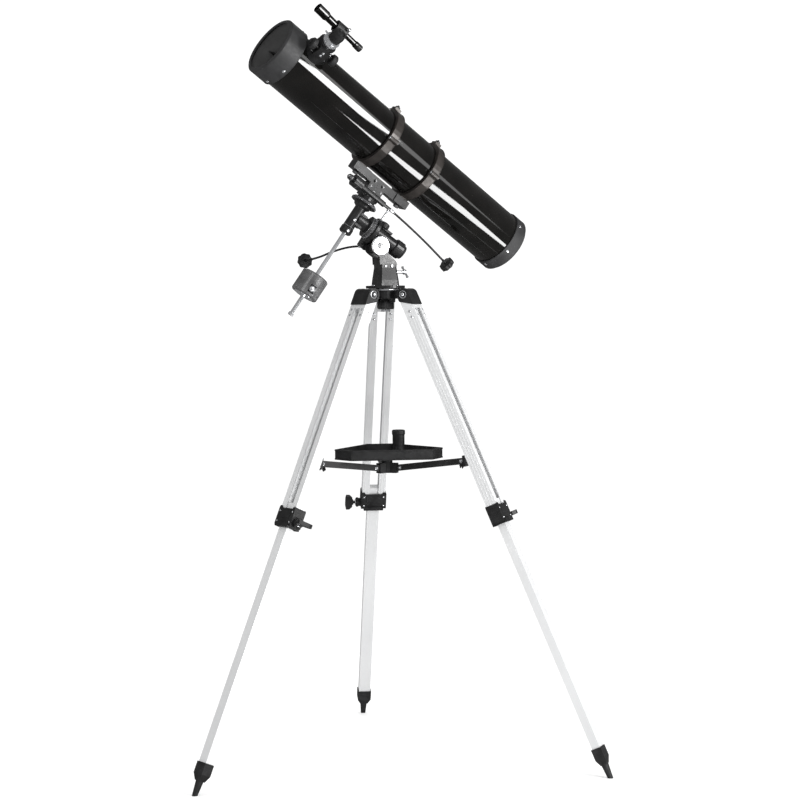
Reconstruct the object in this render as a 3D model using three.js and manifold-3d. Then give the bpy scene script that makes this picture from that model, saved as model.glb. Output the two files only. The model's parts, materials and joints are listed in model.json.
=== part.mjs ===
// Reflector telescope with a German equatorial mount on an extending tripod.
// Millimetres, +Z up. The tube's front points towards -X, and the origin is on the ground under the
// middle of the object's bounding box. The pieces are drawn with the tube's front towards +X and the
// whole telescope is then turned half round.
import * as THREE from "three";
import { mergeVertices } from "three/addons/utils/BufferGeometryUtils.js";
import Module from "manifold-3d";

const wasm = await Module();
wasm.setup();

// ---------------------------------------------------------------- driving dimensions
const GAP = 0.35; // clearance between pieces that touch
const AXIS_AT = [85, -76.6]; // where the tripod's own axis stands

// Tripod
const LEG_AZIMUTH = 14.2; // degrees, first leg
const PIVOT_R = 63;
const PIVOT_Z = 1267;
const FOOT_R = 624;
const LEG_TILT = Math.atan2(FOOT_R - PIVOT_R, PIVOT_Z);
const LEG_LENGTH = Math.hypot(FOOT_R - PIVOT_R, PIVOT_Z);
const LEG_WIDTH = 66; // over both rails
const LEG_DEPTH = 30;
const RAIL_WIDTH = 20;
const RAIL_WALL = 2.4;
const RAIL_TOP = 36; // all s values run down the leg from the pivot
const CLAMP_TOP = 615;
const CLAMP_BOTTOM = 661;
const RAIL_BOTTOM = 640;
const LOWER_LEG = { width: 34, depth: 22.6, top: 598, bottom: 1322 };
const FOOT_TOP = 1300;
const YOKE = { depth: 17, innerEnd: 14, outerEnd: 36, lug: 26, recess: 12.5 };

// Spreader and tray
const SPREADER_HUB = { radius: 30, bottom: 785, top: 812 };
const ARM = { inner: 31, outer: 226, innerZ: 799, outerZ: 822, width: 13, height: 17 };
const TRAY = { corner: 147, halfEdge: 37, bottom: 826, height: 28, wall: 3 };
const SPARE = { x: -29, y: 13, radius: 16.5, height: 72 };

// Hub and azimuth base
const HUB = { radius: 34, bottom: 1256, top: 1284 };
const KNOB_UNDER = { radius: 22, bottom: 1228, top: 1255 };
const FLANGE = { radius: 53, height: 7 };
const PIER = { bottom: HUB.top + GAP, waist: 1340, top: 1368 };
const EAR = { inner: 19.5, outer: 26, radius: 25 };

// Mount axes
const LATITUDE = 34.7; // degrees
const PIVOT_X = 25.4;
const PIVOT_HEIGHT = 1398;
const RA_OFFSET = 28; // polar axis above the latitude pivot
const RA_TO_DEC = 95; // latitude pivot to the declination axis, along the polar axis
const RA_REST = -3.5; // degrees that the head is turned from the meridian
const DEC_REST = 9.25;

// Tube and what it carries, in the declination head's frame
const TUBE = { axis: 209.2, radius: 78, wall: 1.2, front: 469, rear: -437 };
const FRONT_RING = { radius: 82.5, length: 56, front: 473, opening: 71 };
const REAR_CELL = { radius: 81.5, length: 40, rear: -440 };
const RINGS = [72, -85]; // middle of each tube ring
const RING = { inner: TUBE.radius + GAP, outer: 87, width: 26, ear: 107, screw: 98.5 };
const BAR = {
  front: RINGS[0] + 20, rear: RINGS[1] - 22, width: 34, bottom: 100, top: TUBE.axis - RING.outer - GAP,
};
const FOCUSER = { station: 381, turn: 50 }; // degrees round the tube from the far side of the mount
const FINDER = { station: 350, turn: 10, radius: 150, length: 166, tilt: 3 };

const SIDES = { cord: 8, small: 12, medium: 24, large: 40 };

// ---------------------------------------------------------------- materials
const paint = (color, roughness, metalness) => new THREE.MeshStandardMaterial({ color, roughness, metalness });
const MAT = {
  gloss: paint(0x0c0c0e, 0.08, 0.1),
  plastic: paint(0x1d1e20, 0.5, 0),
  satin: paint(0x4a4b4d, 0.55, 0.1),
  graphite: paint(0x3a3b3d, 0.35, 0.5),
  bronze: paint(0x47443f, 0.4, 0.6),
  aluminium: paint(0xd4d6d8, 0.3, 0.9),
  chrome: paint(0xd9dadc, 0.12, 1),
  white: paint(0xf2f2f0, 0.5, 0),
  rubber: paint(0x151515, 0.7, 0),
  glass: paint(0x9fb4c2, 0.05, 0.9),
};

// ---------------------------------------------------------------- geometry helpers
const rad = (degrees) => (degrees * Math.PI) / 180;
const V2 = (x, y) => new THREE.Vector2(x, y);
const V3 = (x, y, z) => new THREE.Vector3(x, y, z);

function toSolid(geometry) {
  const bare = geometry.index ? geometry.toNonIndexed() : geometry.clone();
  bare.deleteAttribute("normal");
  bare.deleteAttribute("uv");
  const merged = mergeVertices(bare, 1e-3);
  const mesh = new wasm.Mesh({
    numProp: 3,
    vertProperties: new Float32Array(merged.attributes.position.array),
    triVerts: new Uint32Array(merged.index.array),
  });
  return new wasm.Manifold(mesh);
}

function toGeometry(solid) {
  const mesh = solid.getMesh();
  const geometry = new THREE.BufferGeometry();
  geometry.setAttribute("position", new THREE.BufferAttribute(mesh.vertProperties, 3));
  geometry.setIndex(new THREE.BufferAttribute(mesh.triVerts, 1));
  geometry.computeVertexNormals();
  return geometry;
}

// Joins the first list of geometries and cuts the second list from it.
function combine(added, cut = []) {
  let solid = toSolid(added[0]);
  for (const geometry of added.slice(1)) solid = solid.add(toSolid(geometry));
  for (const geometry of cut) solid = solid.subtract(toSolid(geometry));
  return toGeometry(solid);
}

// A box from its two corners.
function box(low, high) {
  const size = high.map((value, i) => value - low[i]);
  const geometry = new THREE.BoxGeometry(...size);
  return geometry.translate(...low.map((value, i) => value + size[i] / 2));
}

// A cylinder or cone along Z from z0 to z1.
function post(radius, z0, z1, sides = SIDES.medium, topRadius = radius) {
  const geometry = new THREE.CylinderGeometry(topRadius, radius, z1 - z0, sides);
  return geometry.rotateX(Math.PI / 2).translate(0, 0, (z0 + z1) / 2);
}

// The same along X, and along Y.
const postX = (...args) => post(...args).rotateY(Math.PI / 2);
const postY = (...args) => post(...args).rotateX(-Math.PI / 2);

// A body turned about Z from [radius, z] pairs that start and end on the axis or close on themselves.
function turned(profile, sides = SIDES.medium) {
  const points = profile.map(([radius, z]) => V2(radius, z));
  return new THREE.LatheGeometry(points, sides).rotateX(Math.PI / 2);
}
const turnedX = (...args) => turned(...args).rotateY(Math.PI / 2);

// A hoop round Z with a rectangular section.
function hoop(inner, outer, z0, z1, sides = SIDES.large) {
  return turned([[inner, z0], [outer, z0], [outer, z1], [inner, z1], [inner, z0]], sides);
}
const hoopX = (...args) => hoop(...args).rotateY(Math.PI / 2);

// An outline in the XY plane pushed up from z0 to z1.
function slab(outline, z0, z1) {
  const shape = outline instanceof THREE.Shape ? outline : new THREE.Shape(outline);
  const geometry = new THREE.ExtrudeGeometry(shape, { depth: z1 - z0, bevelEnabled: false, curveSegments: 10 });
  return geometry.translate(0, 0, z0);
}

// A skin over closed sections that all have the same number of points, with flat ends.
function loft(sections) {
  const count = sections[0].length;
  const points = sections.flat();
  const index = [];
  for (let s = 0; s < sections.length - 1; s++) {
    for (let i = 0; i < count; i++) {
      const a = s * count + i;
      const b = s * count + ((i + 1) % count);
      index.push(a, b, b + count, a, b + count, a + count);
    }
  }
  const last = (sections.length - 1) * count;
  for (let i = 1; i < count - 1; i++) {
    index.push(0, i + 1, i);
    index.push(last, last + i, last + i + 1);
  }
  const geometry = new THREE.BufferGeometry().setFromPoints(points);
  geometry.setIndex(index);
  return geometry;
}

// A square section with cut corners, counter-clockwise at height z.
function squareSection(half, corner, z) {
  const inner = half - corner;
  const points = [];
  for (let quarter = 0; quarter < 4; quarter++) {
    const turn = (quarter * Math.PI) / 2;
    for (const [x, y] of [[half, -inner], [half, inner]]) {
      points.push(V3(x * Math.cos(turn) - y * Math.sin(turn), x * Math.sin(turn) + y * Math.cos(turn), z));
    }
  }
  return points;
}

// A knob along Z with a scalloped rim.
function scallopedKnob(radius, thickness, lobes) {
  const outline = [];
  const steps = lobes * 6;
  for (let i = 0; i < steps; i++) {
    const turn = (i / steps) * 2 * Math.PI;
    const r = radius - 1.1 * (1 - Math.cos(lobes * turn));
    outline.push(V2(r * Math.cos(turn), r * Math.sin(turn)));
  }
  return slab(outline, 0, thickness);
}

// A round cable through hand-placed points.
function cable(points, radius, steps) {
  const path = new THREE.CatmullRomCurve3(points.map((p) => V3(...p)), false, "centripetal");
  const section = new THREE.Shape();
  section.absarc(0, 0, radius, 0, 2 * Math.PI, false);
  const sides = { curveSegments: SIDES.cord / 2 };
  return new THREE.ExtrudeGeometry(section, { steps, extrudePath: path, bevelEnabled: false, ...sides });
}

function group(parent, position = [0, 0, 0], rotation = [0, 0, 0]) {
  const made = new THREE.Group();
  made.position.set(...position);
  made.rotation.set(...rotation);
  parent.add(made);
  return made;
}

function piece(parent, name, geometry, material) {
  const mesh = new THREE.Mesh(geometry, material);
  mesh.name = name;
  parent.add(mesh);
  return mesh;
}

const telescope = new THREE.Group();
const tripod = group(telescope, [AXIS_AT[0], AXIS_AT[1], 0], [0, 0, Math.PI]);

// ---------------------------------------------------------------- tripod
const LEG_NAMES = ["a", "b", "c"];
const legTurn = (index) => rad(LEG_AZIMUTH + 120 * index);

function tripodHub() {
  const added = [post(HUB.radius, HUB.bottom, HUB.top), post(40, HUB.top - 6, HUB.top)];
  for (let i = 0; i < 3; i++) {
    const half = YOKE.lug / 2;
    const lug = box([20, -half, PIVOT_Z - 11], [PIVOT_R, half, PIVOT_Z + 11]);
    const nose = postY(11, -half, half, SIDES.small).translate(PIVOT_R, 0, PIVOT_Z);
    added.push(lug.rotateZ(legTurn(i)), nose.rotateZ(legTurn(i)));
  }
  const bolt = post(6.5, HUB.bottom - 1, HUB.top + 1, SIDES.small);
  piece(tripod, "tripod_hub", combine(added, [bolt]), MAT.graphite);
}

// The plane, sloping down to the outer side, on which a yoke sits on its rails.
const YOKE_SLOPE = Math.atan2(YOKE.outerEnd - YOKE.innerEnd, 2 * YOKE.depth);
const YOKE_MIDDLE = (YOKE.innerEnd + YOKE.outerEnd) / 2;

// A rounded block with a slot for the hub's lug, and the pivot bolt's ends in two recesses.
function legYoke() {
  const side = LEG_WIDTH / 2 + 1;
  const { depth, innerEnd, outerEnd, lug, recess } = YOKE;
  const outline = new THREE.Shape();
  outline.absarc(0, 0, depth, 0, Math.PI, false);
  outline.lineTo(-depth, -innerEnd);
  outline.lineTo(depth, -outerEnd);
  const body = slab(outline, -side, side).rotateX(Math.PI / 2);
  const half = lug / 2 + 0.8;
  const slot = box([-depth - 1, -half, -12.6], [12, half, 30]);
  const recesses = [side - 3, -side - 1].map((y) => postY(recess, y, y + 4, 20));
  const block = combine([body], [slot, ...recesses]);
  const bolts = [side - 4, -side - 1].map((y) => postY(8, y, y + 5, 6));
  return combine([block, ...bolts]);
}

// Two channels that face each other, joined by a bridge at the top.
function railPair() {
  const half = LEG_WIDTH / 2;
  const depth = LEG_DEPTH / 2;
  const outer = [1, -1].map((sign) => {
    const ends = [sign * half, sign * (half - RAIL_WIDTH)].sort((a, b) => a - b);
    return box([-depth, ends[0], -RAIL_BOTTOM], [depth, ends[1], -YOKE.innerEnd]);
  });
  const bridge = box([-depth, -half + 1, -RAIL_TOP - 8], [depth, half - 1, -YOKE.innerEnd]);
  const hollow = box(
    [-depth + RAIL_WALL, -half + RAIL_WALL, -RAIL_BOTTOM - 1],
    [depth - RAIL_WALL, half - RAIL_WALL, -RAIL_TOP - 8],
  );
  const seat = box([-60, -60, 0], [60, 60, 80]).rotateY(YOKE_SLOPE).translate(0, 0, -YOKE_MIDDLE - 1.3 * GAP);
  return combine([...outer, bridge], [hollow, seat]);
}

function legClamp() {
  const side = LEG_WIDTH / 2 + 3;
  const front = LEG_DEPTH / 2 + 3;
  const body = box([-front, -side, -CLAMP_BOTTOM], [front, side, -CLAMP_TOP]);
  const ears = [1, -1].map((sign) => postX(6, -front, front, SIDES.small).translate(0, sign * (side - 6), -CLAMP_TOP));
  const boss = postY(12, side - 1, side + 14, SIDES.small).translate(0, 0, -CLAMP_BOTTOM + 13);
  const lip = box([-front - 3, -side + 8, -CLAMP_BOTTOM - 5], [front + 3, side - 8, -CLAMP_BOTTOM + 6]);
  const railPocket = box(
    [-LEG_DEPTH / 2 - GAP, -LEG_WIDTH / 2 - GAP, -RAIL_BOTTOM - GAP],
    [LEG_DEPTH / 2 + GAP, LEG_WIDTH / 2 + GAP, -CLAMP_TOP + 9],
  );
  const legHole = box(
    [-LOWER_LEG.depth / 2 - GAP, -LOWER_LEG.width / 2 - GAP, -CLAMP_BOTTOM - 9],
    [LOWER_LEG.depth / 2 + GAP, LOWER_LEG.width / 2 + GAP, -CLAMP_TOP + 9],
  );
  const screwHole = postY(4.6, LOWER_LEG.width / 2, side + 16, SIDES.small).translate(0, 0, -CLAMP_BOTTOM + 13);
  return combine([body, ...ears, boss, lip], [railPocket, legHole, screwHole]);
}

// A wing screw along Y that presses on the lower leg.
function legThumbscrew() {
  const start = LOWER_LEG.width / 2 + 2.5 * GAP;
  const shaft = postY(4, start, 60, SIDES.small);
  const collar = postY(8, 57, 64, SIDES.small);
  const half = [V2(13, 60), V2(21.5, 68), V2(21.5, 78), V2(12, 80)];
  const mirrored = half.map((corner) => V2(-corner.x, corner.y)).reverse();
  const wing = slab([...half, ...mirrored], -5.5, 5.5);
  return combine([shaft, collar, wing]);
}

function lowerLeg() {
  const { width, depth, top, bottom } = LOWER_LEG;
  const tube = box([-depth / 2, -width / 2, -bottom], [depth / 2, width / 2, -top]);
  const cavity = box([-depth / 2 + 2, -width / 2 + 2, -bottom - 1], [depth / 2 - 2, width / 2 - 2, -top - 12]);
  return combine([tube], [cavity]);
}

function foot() {
  const side = LOWER_LEG.width / 2 + 2.5;
  const front = LOWER_LEG.depth / 2 + 2.5;
  const rectangle = (fx, fy, z) => [V3(fx, -fy, z), V3(fx, fy, z), V3(-fx, fy, z), V3(-fx, -fy, z)];
  const cap = loft([
    rectangle(front * 0.62, side * 0.55, -LEG_LENGTH + 38),
    rectangle(front, side, -LOWER_LEG.bottom - 8),
    rectangle(front, side, -FOOT_TOP),
  ]);
  const tip = post(6.5, -LEG_LENGTH - 8, -LEG_LENGTH + 42, SIDES.small, 10.5);
  const pocket = box(
    [-LOWER_LEG.depth / 2 - GAP, -LOWER_LEG.width / 2 - GAP, -LOWER_LEG.bottom - GAP],
    [LOWER_LEG.depth / 2 + GAP, LOWER_LEG.width / 2 + GAP, -FOOT_TOP + 1],
  );
  const ground = box([-60, -60, -60], [60, 60, 0]).rotateY(LEG_TILT).translate(0, 0, -LEG_LENGTH);
  return combine([cap, tip], [pocket, ground]);
}

function leg(index) {
  const turn = group(tripod, [0, 0, 0], [0, 0, legTurn(index)]);
  const tilted = group(turn, [PIVOT_R, 0, PIVOT_Z], [0, -LEG_TILT, 0]);
  const label = LEG_NAMES[index];
  piece(tilted, `leg_yoke_${label}`, legYoke(), MAT.plastic);
  piece(tilted, `upper_leg_${label}`, railPair(), MAT.aluminium);
  piece(tilted, `leg_clamp_${label}`, legClamp(), MAT.plastic);
  piece(tilted, `lower_leg_${label}`, lowerLeg(), MAT.aluminium);
  piece(tilted, `foot_${label}`, foot(), MAT.rubber);
  const screw = piece(tilted, `leg_thumbscrew_${label}`, legThumbscrew(), MAT.plastic);
  screw.position.z = -CLAMP_BOTTOM + 13;
  screw.rotation.y = index === 2 ? Math.PI / 2 : 0;
}

// ---------------------------------------------------------------- spreader and tray
function spreaderHub() {
  const { radius, bottom, top } = SPREADER_HUB;
  const added = [post(15, bottom, TRAY.bottom - GAP, SIDES.small)];
  for (let i = 0; i < 3; i++) {
    added.push(box([0, -ARM.width / 2 - 3, bottom], [radius - GAP, ARM.width / 2 + 3, top]).rotateZ(legTurn(i)));
  }
  piece(tripod, "spreader_hub", combine(added), MAT.plastic);
}

// A bar from the spreader hub to the back of a leg, with a fork at its outer end.
function spreaderArm(index) {
  const span = ARM.outer - ARM.inner;
  const slope = Math.atan2(ARM.outerZ - ARM.innerZ, span);
  const length = Math.hypot(span, ARM.outerZ - ARM.innerZ);
  const half = ARM.width / 2;
  const bar = box([0, -half, -ARM.height / 2], [length, half, ARM.height / 2]);
  const channel = box([6, -half + 2, -ARM.height / 2 - 1], [length - 6, half - 2, ARM.height / 2 - 2.5]);
  const plate = box([length - 2, -16, -15], [length + 4, 16, 15]);
  const arm = combine([bar, plate], [channel]).rotateY(-slope).translate(ARM.inner, 0, ARM.innerZ);
  const turn = group(tripod, [0, 0, 0], [0, 0, legTurn(index)]);
  piece(turn, `spreader_arm_${LEG_NAMES[index]}`, arm, MAT.plastic);
}

// The corners of the tray, two for each leg, moved inwards by inset.
function trayOutline(inset) {
  const corner = TRAY.corner - inset;
  const halfEdge = TRAY.halfEdge - inset * Math.tan(rad(30));
  const points = [];
  for (let i = 0; i < 3; i++) {
    const turn = legTurn(i);
    for (const y of [-halfEdge, halfEdge]) {
      points.push(V2(corner * Math.cos(turn) - y * Math.sin(turn), corner * Math.sin(turn) + y * Math.cos(turn)));
    }
  }
  return points;
}

function accessoryTray() {
  const { bottom, height, wall } = TRAY;
  const outside = slab(trayOutline(0), bottom, bottom + height);
  const inside = slab(trayOutline(wall), bottom + wall, bottom + height + 1);
  piece(tripod, "accessory_tray", combine([outside], [inside]), MAT.plastic);
}

function spareEyepiece() {
  const floor = TRAY.bottom + TRAY.wall + GAP;
  const { x, y, radius, height } = SPARE;
  const profile = [
    [0, 0], [radius - 1, 0], [radius - 1, 30], [radius, 31], [radius, height - 14],
    [radius + 1.5, height - 12], [radius + 1.5, height - 2], [radius - 1, height], [radius - 6, height],
    [radius - 8, height - 4], [0, height - 4],
  ];
  piece(tripod, "spare_eyepiece", turned(profile, 20), MAT.plastic).position.set(x, y, floor);
}

// ---------------------------------------------------------------- azimuth base
function azimuthKnob() {
  const { radius, bottom, top } = KNOB_UNDER;
  const knob = scallopedKnob(radius, 20, 12).translate(0, 0, bottom);
  const neck = post(14, bottom + 19, top, SIDES.small);
  const bolt = post(6, top - 1, HUB.top - 4, SIDES.small);
  piece(tripod, "azimuth_knob", combine([knob, neck, bolt]), MAT.plastic);
}

function azimuthBase() {
  const flange = post(FLANGE.radius, PIER.bottom, PIER.bottom + FLANGE.height, 40);
  const column = loft([
    squareSection(31, 7, PIER.bottom + 3),
    squareSection(29.5, 7, PIER.bottom + 22),
    squareSection(25, 6, PIER.waist),
    squareSection(26, 5, PIER.top),
  ]);
  const cheek = new THREE.Shape();
  cheek.absarc(PIVOT_X, PIVOT_HEIGHT, EAR.radius, -0.9, Math.PI + 0.35, false);
  cheek.lineTo(-26, PIER.top - 20);
  cheek.lineTo(26, PIER.top - 20);
  cheek.lineTo(27, PIER.top);
  const ears = [-EAR.outer, EAR.inner].map((y) => {
    const plate = slab(cheek, -(EAR.outer - EAR.inner), 0);
    return plate.rotateX(Math.PI / 2).translate(0, y, 0);
  });
  const bore = postY(6, -40, 40, SIDES.small).translate(PIVOT_X, 0, PIVOT_HEIGHT);
  const boltHole = postX(5, -40, -14, SIDES.small).translate(0, 0, 1328);
  const shoulder = box([-60, -40, 0], [60, 40, 40]).rotateY(rad(-42)).translate(-26, 0, 1352);
  piece(tripod, "azimuth_base", combine([flange, column, ...ears], [bore, boltHole, shoulder]), MAT.graphite);
}

function latitudeDial() {
  const dial = postY(24.5, 0, 5, 36);
  const screw = postY(6, 4, 9, 6);
  const pin = postY(5.6, -EAR.outer * 2 - 6, 1, SIDES.small);
  const nut = postY(8, -EAR.outer * 2 - 8, -EAR.outer * 2 - 2 * GAP, 6);
  const mesh = piece(tripod, "latitude_dial", combine([dial, screw, pin, nut]), MAT.white);
  mesh.position.set(PIVOT_X, EAR.outer + GAP, PIVOT_HEIGHT);
}

// The T-shaped screw that raises and lowers the polar axis.
function latitudeScrew() {
  const shaft = postX(4.5, -56, -16, SIDES.small);
  const collar = postX(7, -61, -53, SIDES.small);
  const bar = post(2.8, -20, 20, SIDES.small).translate(-58, 0, 0);
  const ends = [-20, 20].map((z) => new THREE.SphereGeometry(4, 10, 8).translate(-58, 0, z));
  const mesh = piece(tripod, "latitude_screw", combine([shaft, collar, bar, ...ends]), MAT.chrome);
  mesh.position.z = 1328;
  mesh.rotation.x = rad(50);
}

// ---------------------------------------------------------------- polar axis
const polar = group(tripod, [PIVOT_X, 0, PIVOT_HEIGHT], [0, rad(-LATITUDE), 0]);
const RA_WORM = { x: 16.6, z: -10.9, near: -27.5, far: -45 };
const RA_WHEEL = { rear: 26, front: 38, radius: 38 };
const CIRCLE_LENGTH = 15;

function raHousing() {
  const { rear, front, radius } = RA_WHEEL;
  const lug = postY(18, -19, 19, SIDES.medium);
  const barrel = postX(19, -66, front - 1).translate(0, 0, RA_OFFSET);
  const web = box([-17, -15, 0], [17, 15, RA_OFFSET]);
  const drum = turnedX([[0, -68], [21, -68], [24, -65], [24, -43], [21, -40], [0, -40]]);
  const wheel = turnedX([
    [0, rear], [radius - 2, rear], [radius, rear + 2], [radius, front - 2], [radius - 2, front], [0, front],
  ], 36);
  const wormCase = postY(11, -34, RA_WORM.near, 20).translate(RA_WORM.x, 0, RA_WORM.z);
  const wormCone = postY(6, RA_WORM.far, -33.5, 20, 11).translate(RA_WORM.x, 0, RA_WORM.z);
  const bridge = box([20, -42, -18], [34, -27.2, 10]);
  const arm = box([27, -42, -18], [36, -12, 12]);
  const bore = postY(6.2, -40, 25, SIDES.small);
  const added = [
    lug, barrel, web, drum.translate(0, 0, RA_OFFSET), wheel.translate(0, 0, RA_OFFSET),
    wormCase, wormCone, bridge, arm,
  ];
  piece(polar, "ra_housing", combine(added, [bore]), MAT.graphite);
}

function raClutchKnob() {
  const knob = turned([[0, 0], [8, 0], [8, 3], [13.5, 4.5], [13.5, 17], [11.5, 19], [0, 19]], 24);
  const lever = box([-30.5, -6, 1], [-6, 6, 7]);
  const mesh = piece(polar, "ra_clutch_knob", combine([knob, lever]), MAT.plastic);
  mesh.position.set(11.5, 0, RA_OFFSET + 19 + GAP);
}

function raSettingCircle() {
  const z0 = RA_WHEEL.front + GAP;
  const ring = hoopX(13, 31, z0, z0 + CIRCLE_LENGTH, 36);
  piece(polar, "ra_setting_circle", ring, MAT.satin).position.z = RA_OFFSET;
}

const RA_CABLE = [
  [16.6, -47.6, -11], [22.6, -55.5, -14.4], [31.1, -71.1, -20.8], [39.5, -89.3, -29.2],
  [47.0, -107.5, -39.0], [53.7, -125.7, -49.8], [59.6, -144.8, -61.2], [64.1, -164.4, -72.1],
  [69.0, -185.9, -81.2], [72.3, -209.3, -87.2], [72.4, -231.6, -89.1],
];

function raCable() {
  piece(polar, "ra_cable", cable(RA_CABLE, 3.2, 34), MAT.rubber);
}

// A slow-motion knob on the end of a cable, along the cable's last stretch.
function cableKnob(parent, name, points) {
  const end = V3(...points.at(-1));
  const before = V3(...points.at(-2));
  const direction = end.clone().sub(before).normalize();
  const ferrule = post(4.2, GAP, 14, SIDES.small);
  const knob = scallopedKnob(21, 12, 8).translate(0, 0, 12);
  const boss = post(9, 23, 27, SIDES.small);
  const mesh = piece(parent, name, combine([ferrule, knob, boss]), MAT.plastic);
  mesh.position.copy(end);
  mesh.quaternion.setFromUnitVectors(V3(0, 0, 1), direction);
}

// ---------------------------------------------------------------- declination axis
const head = group(polar, [RA_TO_DEC, 0, RA_OFFSET], [rad(RA_REST), 0, 0]);
const saddle = group(head, [0, 0, 0], [0, 0, rad(DEC_REST)]);
const DEC_HOUSING = { bottom: -52, top: 42 };

function decHousing() {
  const { bottom, top } = DEC_HOUSING;
  const barrel = turned([
    [0, bottom], [14.5, bottom], [17.5, bottom + 3], [17.5, bottom + 17], [15.8, bottom + 20],
    [15.8, top - 14], [24, top - 8], [24, top], [0, top],
  ]);
  const raShaft = postX(12.6, -RA_TO_DEC + RA_WHEEL.front + 1, 0, SIDES.medium);
  const neck = postX(19, -RA_TO_DEC + RA_WHEEL.front + CIRCLE_LENGTH + 2 * GAP, -8, SIDES.medium);
  const arm = box([-27, -14, -19], [0, 14, 19]);
  const rodHole = post(5.9, bottom - 1, bottom + 22, SIDES.small);
  piece(head, "dec_housing", combine([barrel, raShaft, neck, arm], [rodHole]), MAT.graphite);
}

function decSettingCircle() {
  const z0 = DEC_HOUSING.top + GAP;
  const disc = turned([[0, z0], [37.5, z0], [37.5, z0 + 5], [33, z0 + 9], [0, z0 + 9]], 40);
  piece(head, "dec_setting_circle", disc, MAT.satin);
}

const ROD = { radius: 5.5, top: DEC_HOUSING.bottom + 20, bottom: -314 };
const WEIGHT = { radius: 38, top: -190, bottom: -253, screw: -232 };

function counterweight() {
  const rod = post(ROD.radius, ROD.bottom + 3, ROD.top, SIDES.small);
  const toe = post(8, ROD.bottom - 3, ROD.bottom + 4, SIDES.small);
  piece(head, "counterweight_rod", combine([rod, toe]), MAT.chrome);
  const { radius, top, bottom, screw } = WEIGHT;
  const drum = turned([
    [0, bottom], [radius - 3, bottom], [radius, bottom + 3], [radius, top - 3], [radius - 3, top], [0, top],
  ], 40);
  const bore = post(ROD.radius + GAP, bottom - 1, top + 1, SIDES.small);
  const notch = box([-9, 24, screw - 11], [9, 50, screw + 11]);
  const screwHole = postY(4.2, 4, 30, SIDES.small).translate(0, 0, screw);
  piece(head, "counterweight", combine([drum], [bore, notch, screwHole]), MAT.graphite);
  const shaft = postY(3.9, ROD.radius + 2 * GAP, 32, SIDES.small);
  const knob = postY(8, 29, 41, 12);
  piece(head, "counterweight_screw", combine([shaft, knob]), MAT.chrome).position.z = screw;
}

// ---------------------------------------------------------------- declination head
const HEAD_BOTTOM = DEC_HOUSING.top + 9 + 2 * GAP;
const DEC_WORM = { y: 24, z: 72, front: 79, rear: -45 };

function decHead() {
  const neck = post(26, HEAD_BOTTOM, 62, SIDES.medium);
  const block = box([-25, -22, 60], [25, 15, BAR.bottom - GAP]);
  const { y, z, front, rear } = DEC_WORM;
  const wormTube = postX(8, rear + 4, front - 26, SIDES.small).translate(0, y, z);
  const wormCap = postX(17, front - 32, front - 4, SIDES.medium).translate(0, y - 2, z);
  const nose = postX(8, front - 6, front + 12, SIDES.small).translate(0, y - 2, z);
  const ferrule = postX(4.6, rear - 20, rear + 6, SIDES.small).translate(0, y, z);
  const link = box([-16, 8, z - 9], [25, y, z + 9]);
  piece(saddle, "dec_head", combine([neck, block, wormTube, wormCap, nose, ferrule, link]), MAT.graphite);
}

const DEC_CABLE = [
  [-65.4, 24, 72], [-100, 24, 71.2], [-140, 24.2, 69.5], [-180, 24.4, 67],
  [-220, 24.4, 63.8], [-255, 24.3, 60.2], [-285, 24, 57],
];

function decCable() {
  piece(saddle, "dec_cable", cable(DEC_CABLE, 3.2, 34), MAT.rubber);
}

function mountingBar() {
  const { front, rear, width, bottom, top } = BAR;
  const body = box([rear, -width / 2, bottom], [front, width / 2, top]);
  const waist = [RINGS[1] + 24, RINGS[0] - 34];
  const near = box([waist[0], width / 2 - 4, bottom - 1], [waist[1], width, top + 1]);
  const far = box([waist[0], -width, bottom - 1], [waist[1], -width / 2 + 4, top + 1]);
  const ends = RINGS.map((x) => post(7, bottom - 3, bottom + 1, 6).translate(x, 0, 0));
  piece(saddle, "mounting_bar", combine([body, ...ends], [near, far]), MAT.graphite);
}

// ---------------------------------------------------------------- tube rings
const RING_SPLIT = 2; // degrees that the split line is turned from level
const tubeAxis = group(saddle, [0, 0, TUBE.axis]);

// Half a tube ring round X: side 1 is away from the mount and side -1 rests on the bar.
function ringHalf(side, x) {
  const half = RING.width / 2;
  const ring = hoopX(RING.inner, RING.outer, x - half, x + half, SIDES.large);
  const far = 120;
  const keep = box([x - half - 5, -far, side > 0 ? 0.2 : -far], [x + half + 5, far, side > 0 ? far : -0.2]);
  keep.rotateX(rad(-RING_SPLIT));
  const solid = toSolid(ring).intersect(toSolid(keep));
  const added = [toGeometry(solid)];
  const cut = [];
  const place = (geometry) => geometry.rotateX(rad(-RING_SPLIT));
  const z = side > 0 ? [0.2, 12] : [-12, -0.2];
  // clamp ears, across from the hinge
  added.push(place(box([x - half, -RING.ear, z[0]], [x + half, -RING.inner - 3, z[1]])));
  cut.push(place(post(4, -30, 30, SIDES.small).translate(x, -RING.screw, 0)));
  // hinge knuckles: the middle one belongs to the far half
  const third = RING.width / 6;
  const knuckle = (x0, x1) => place(postX(7, x0, x1, SIDES.small).translate(0, RING.outer + 4, 0));
  const clear = (x0, x1) => place(postX(7.6, x0, x1, SIDES.small).translate(0, RING.outer + 4, 0));
  if (side > 0) {
    added.push(knuckle(x - third, x + third));
    cut.push(clear(x - half - 1, x - third - GAP), clear(x + third + GAP, x + half + 1));
  } else {
    added.push(knuckle(x - half, x - third - GAP), knuckle(x + third + GAP, x + half));
    cut.push(clear(x - third - GAP, x + third + GAP));
  }
  // a foot that rests on the bar, or a boss for carrying something on top
  if (side < 0) {
    added.push(box([x - half, -BAR.width / 2, -RING.outer], [x + half, BAR.width / 2, -RING.inner - 2]));
  } else {
    added.push(box([x - half + 3, -11, RING.inner + 3], [x + half - 3, 11, RING.outer + 8]));
  }
  return combine(added, cut);
}

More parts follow.
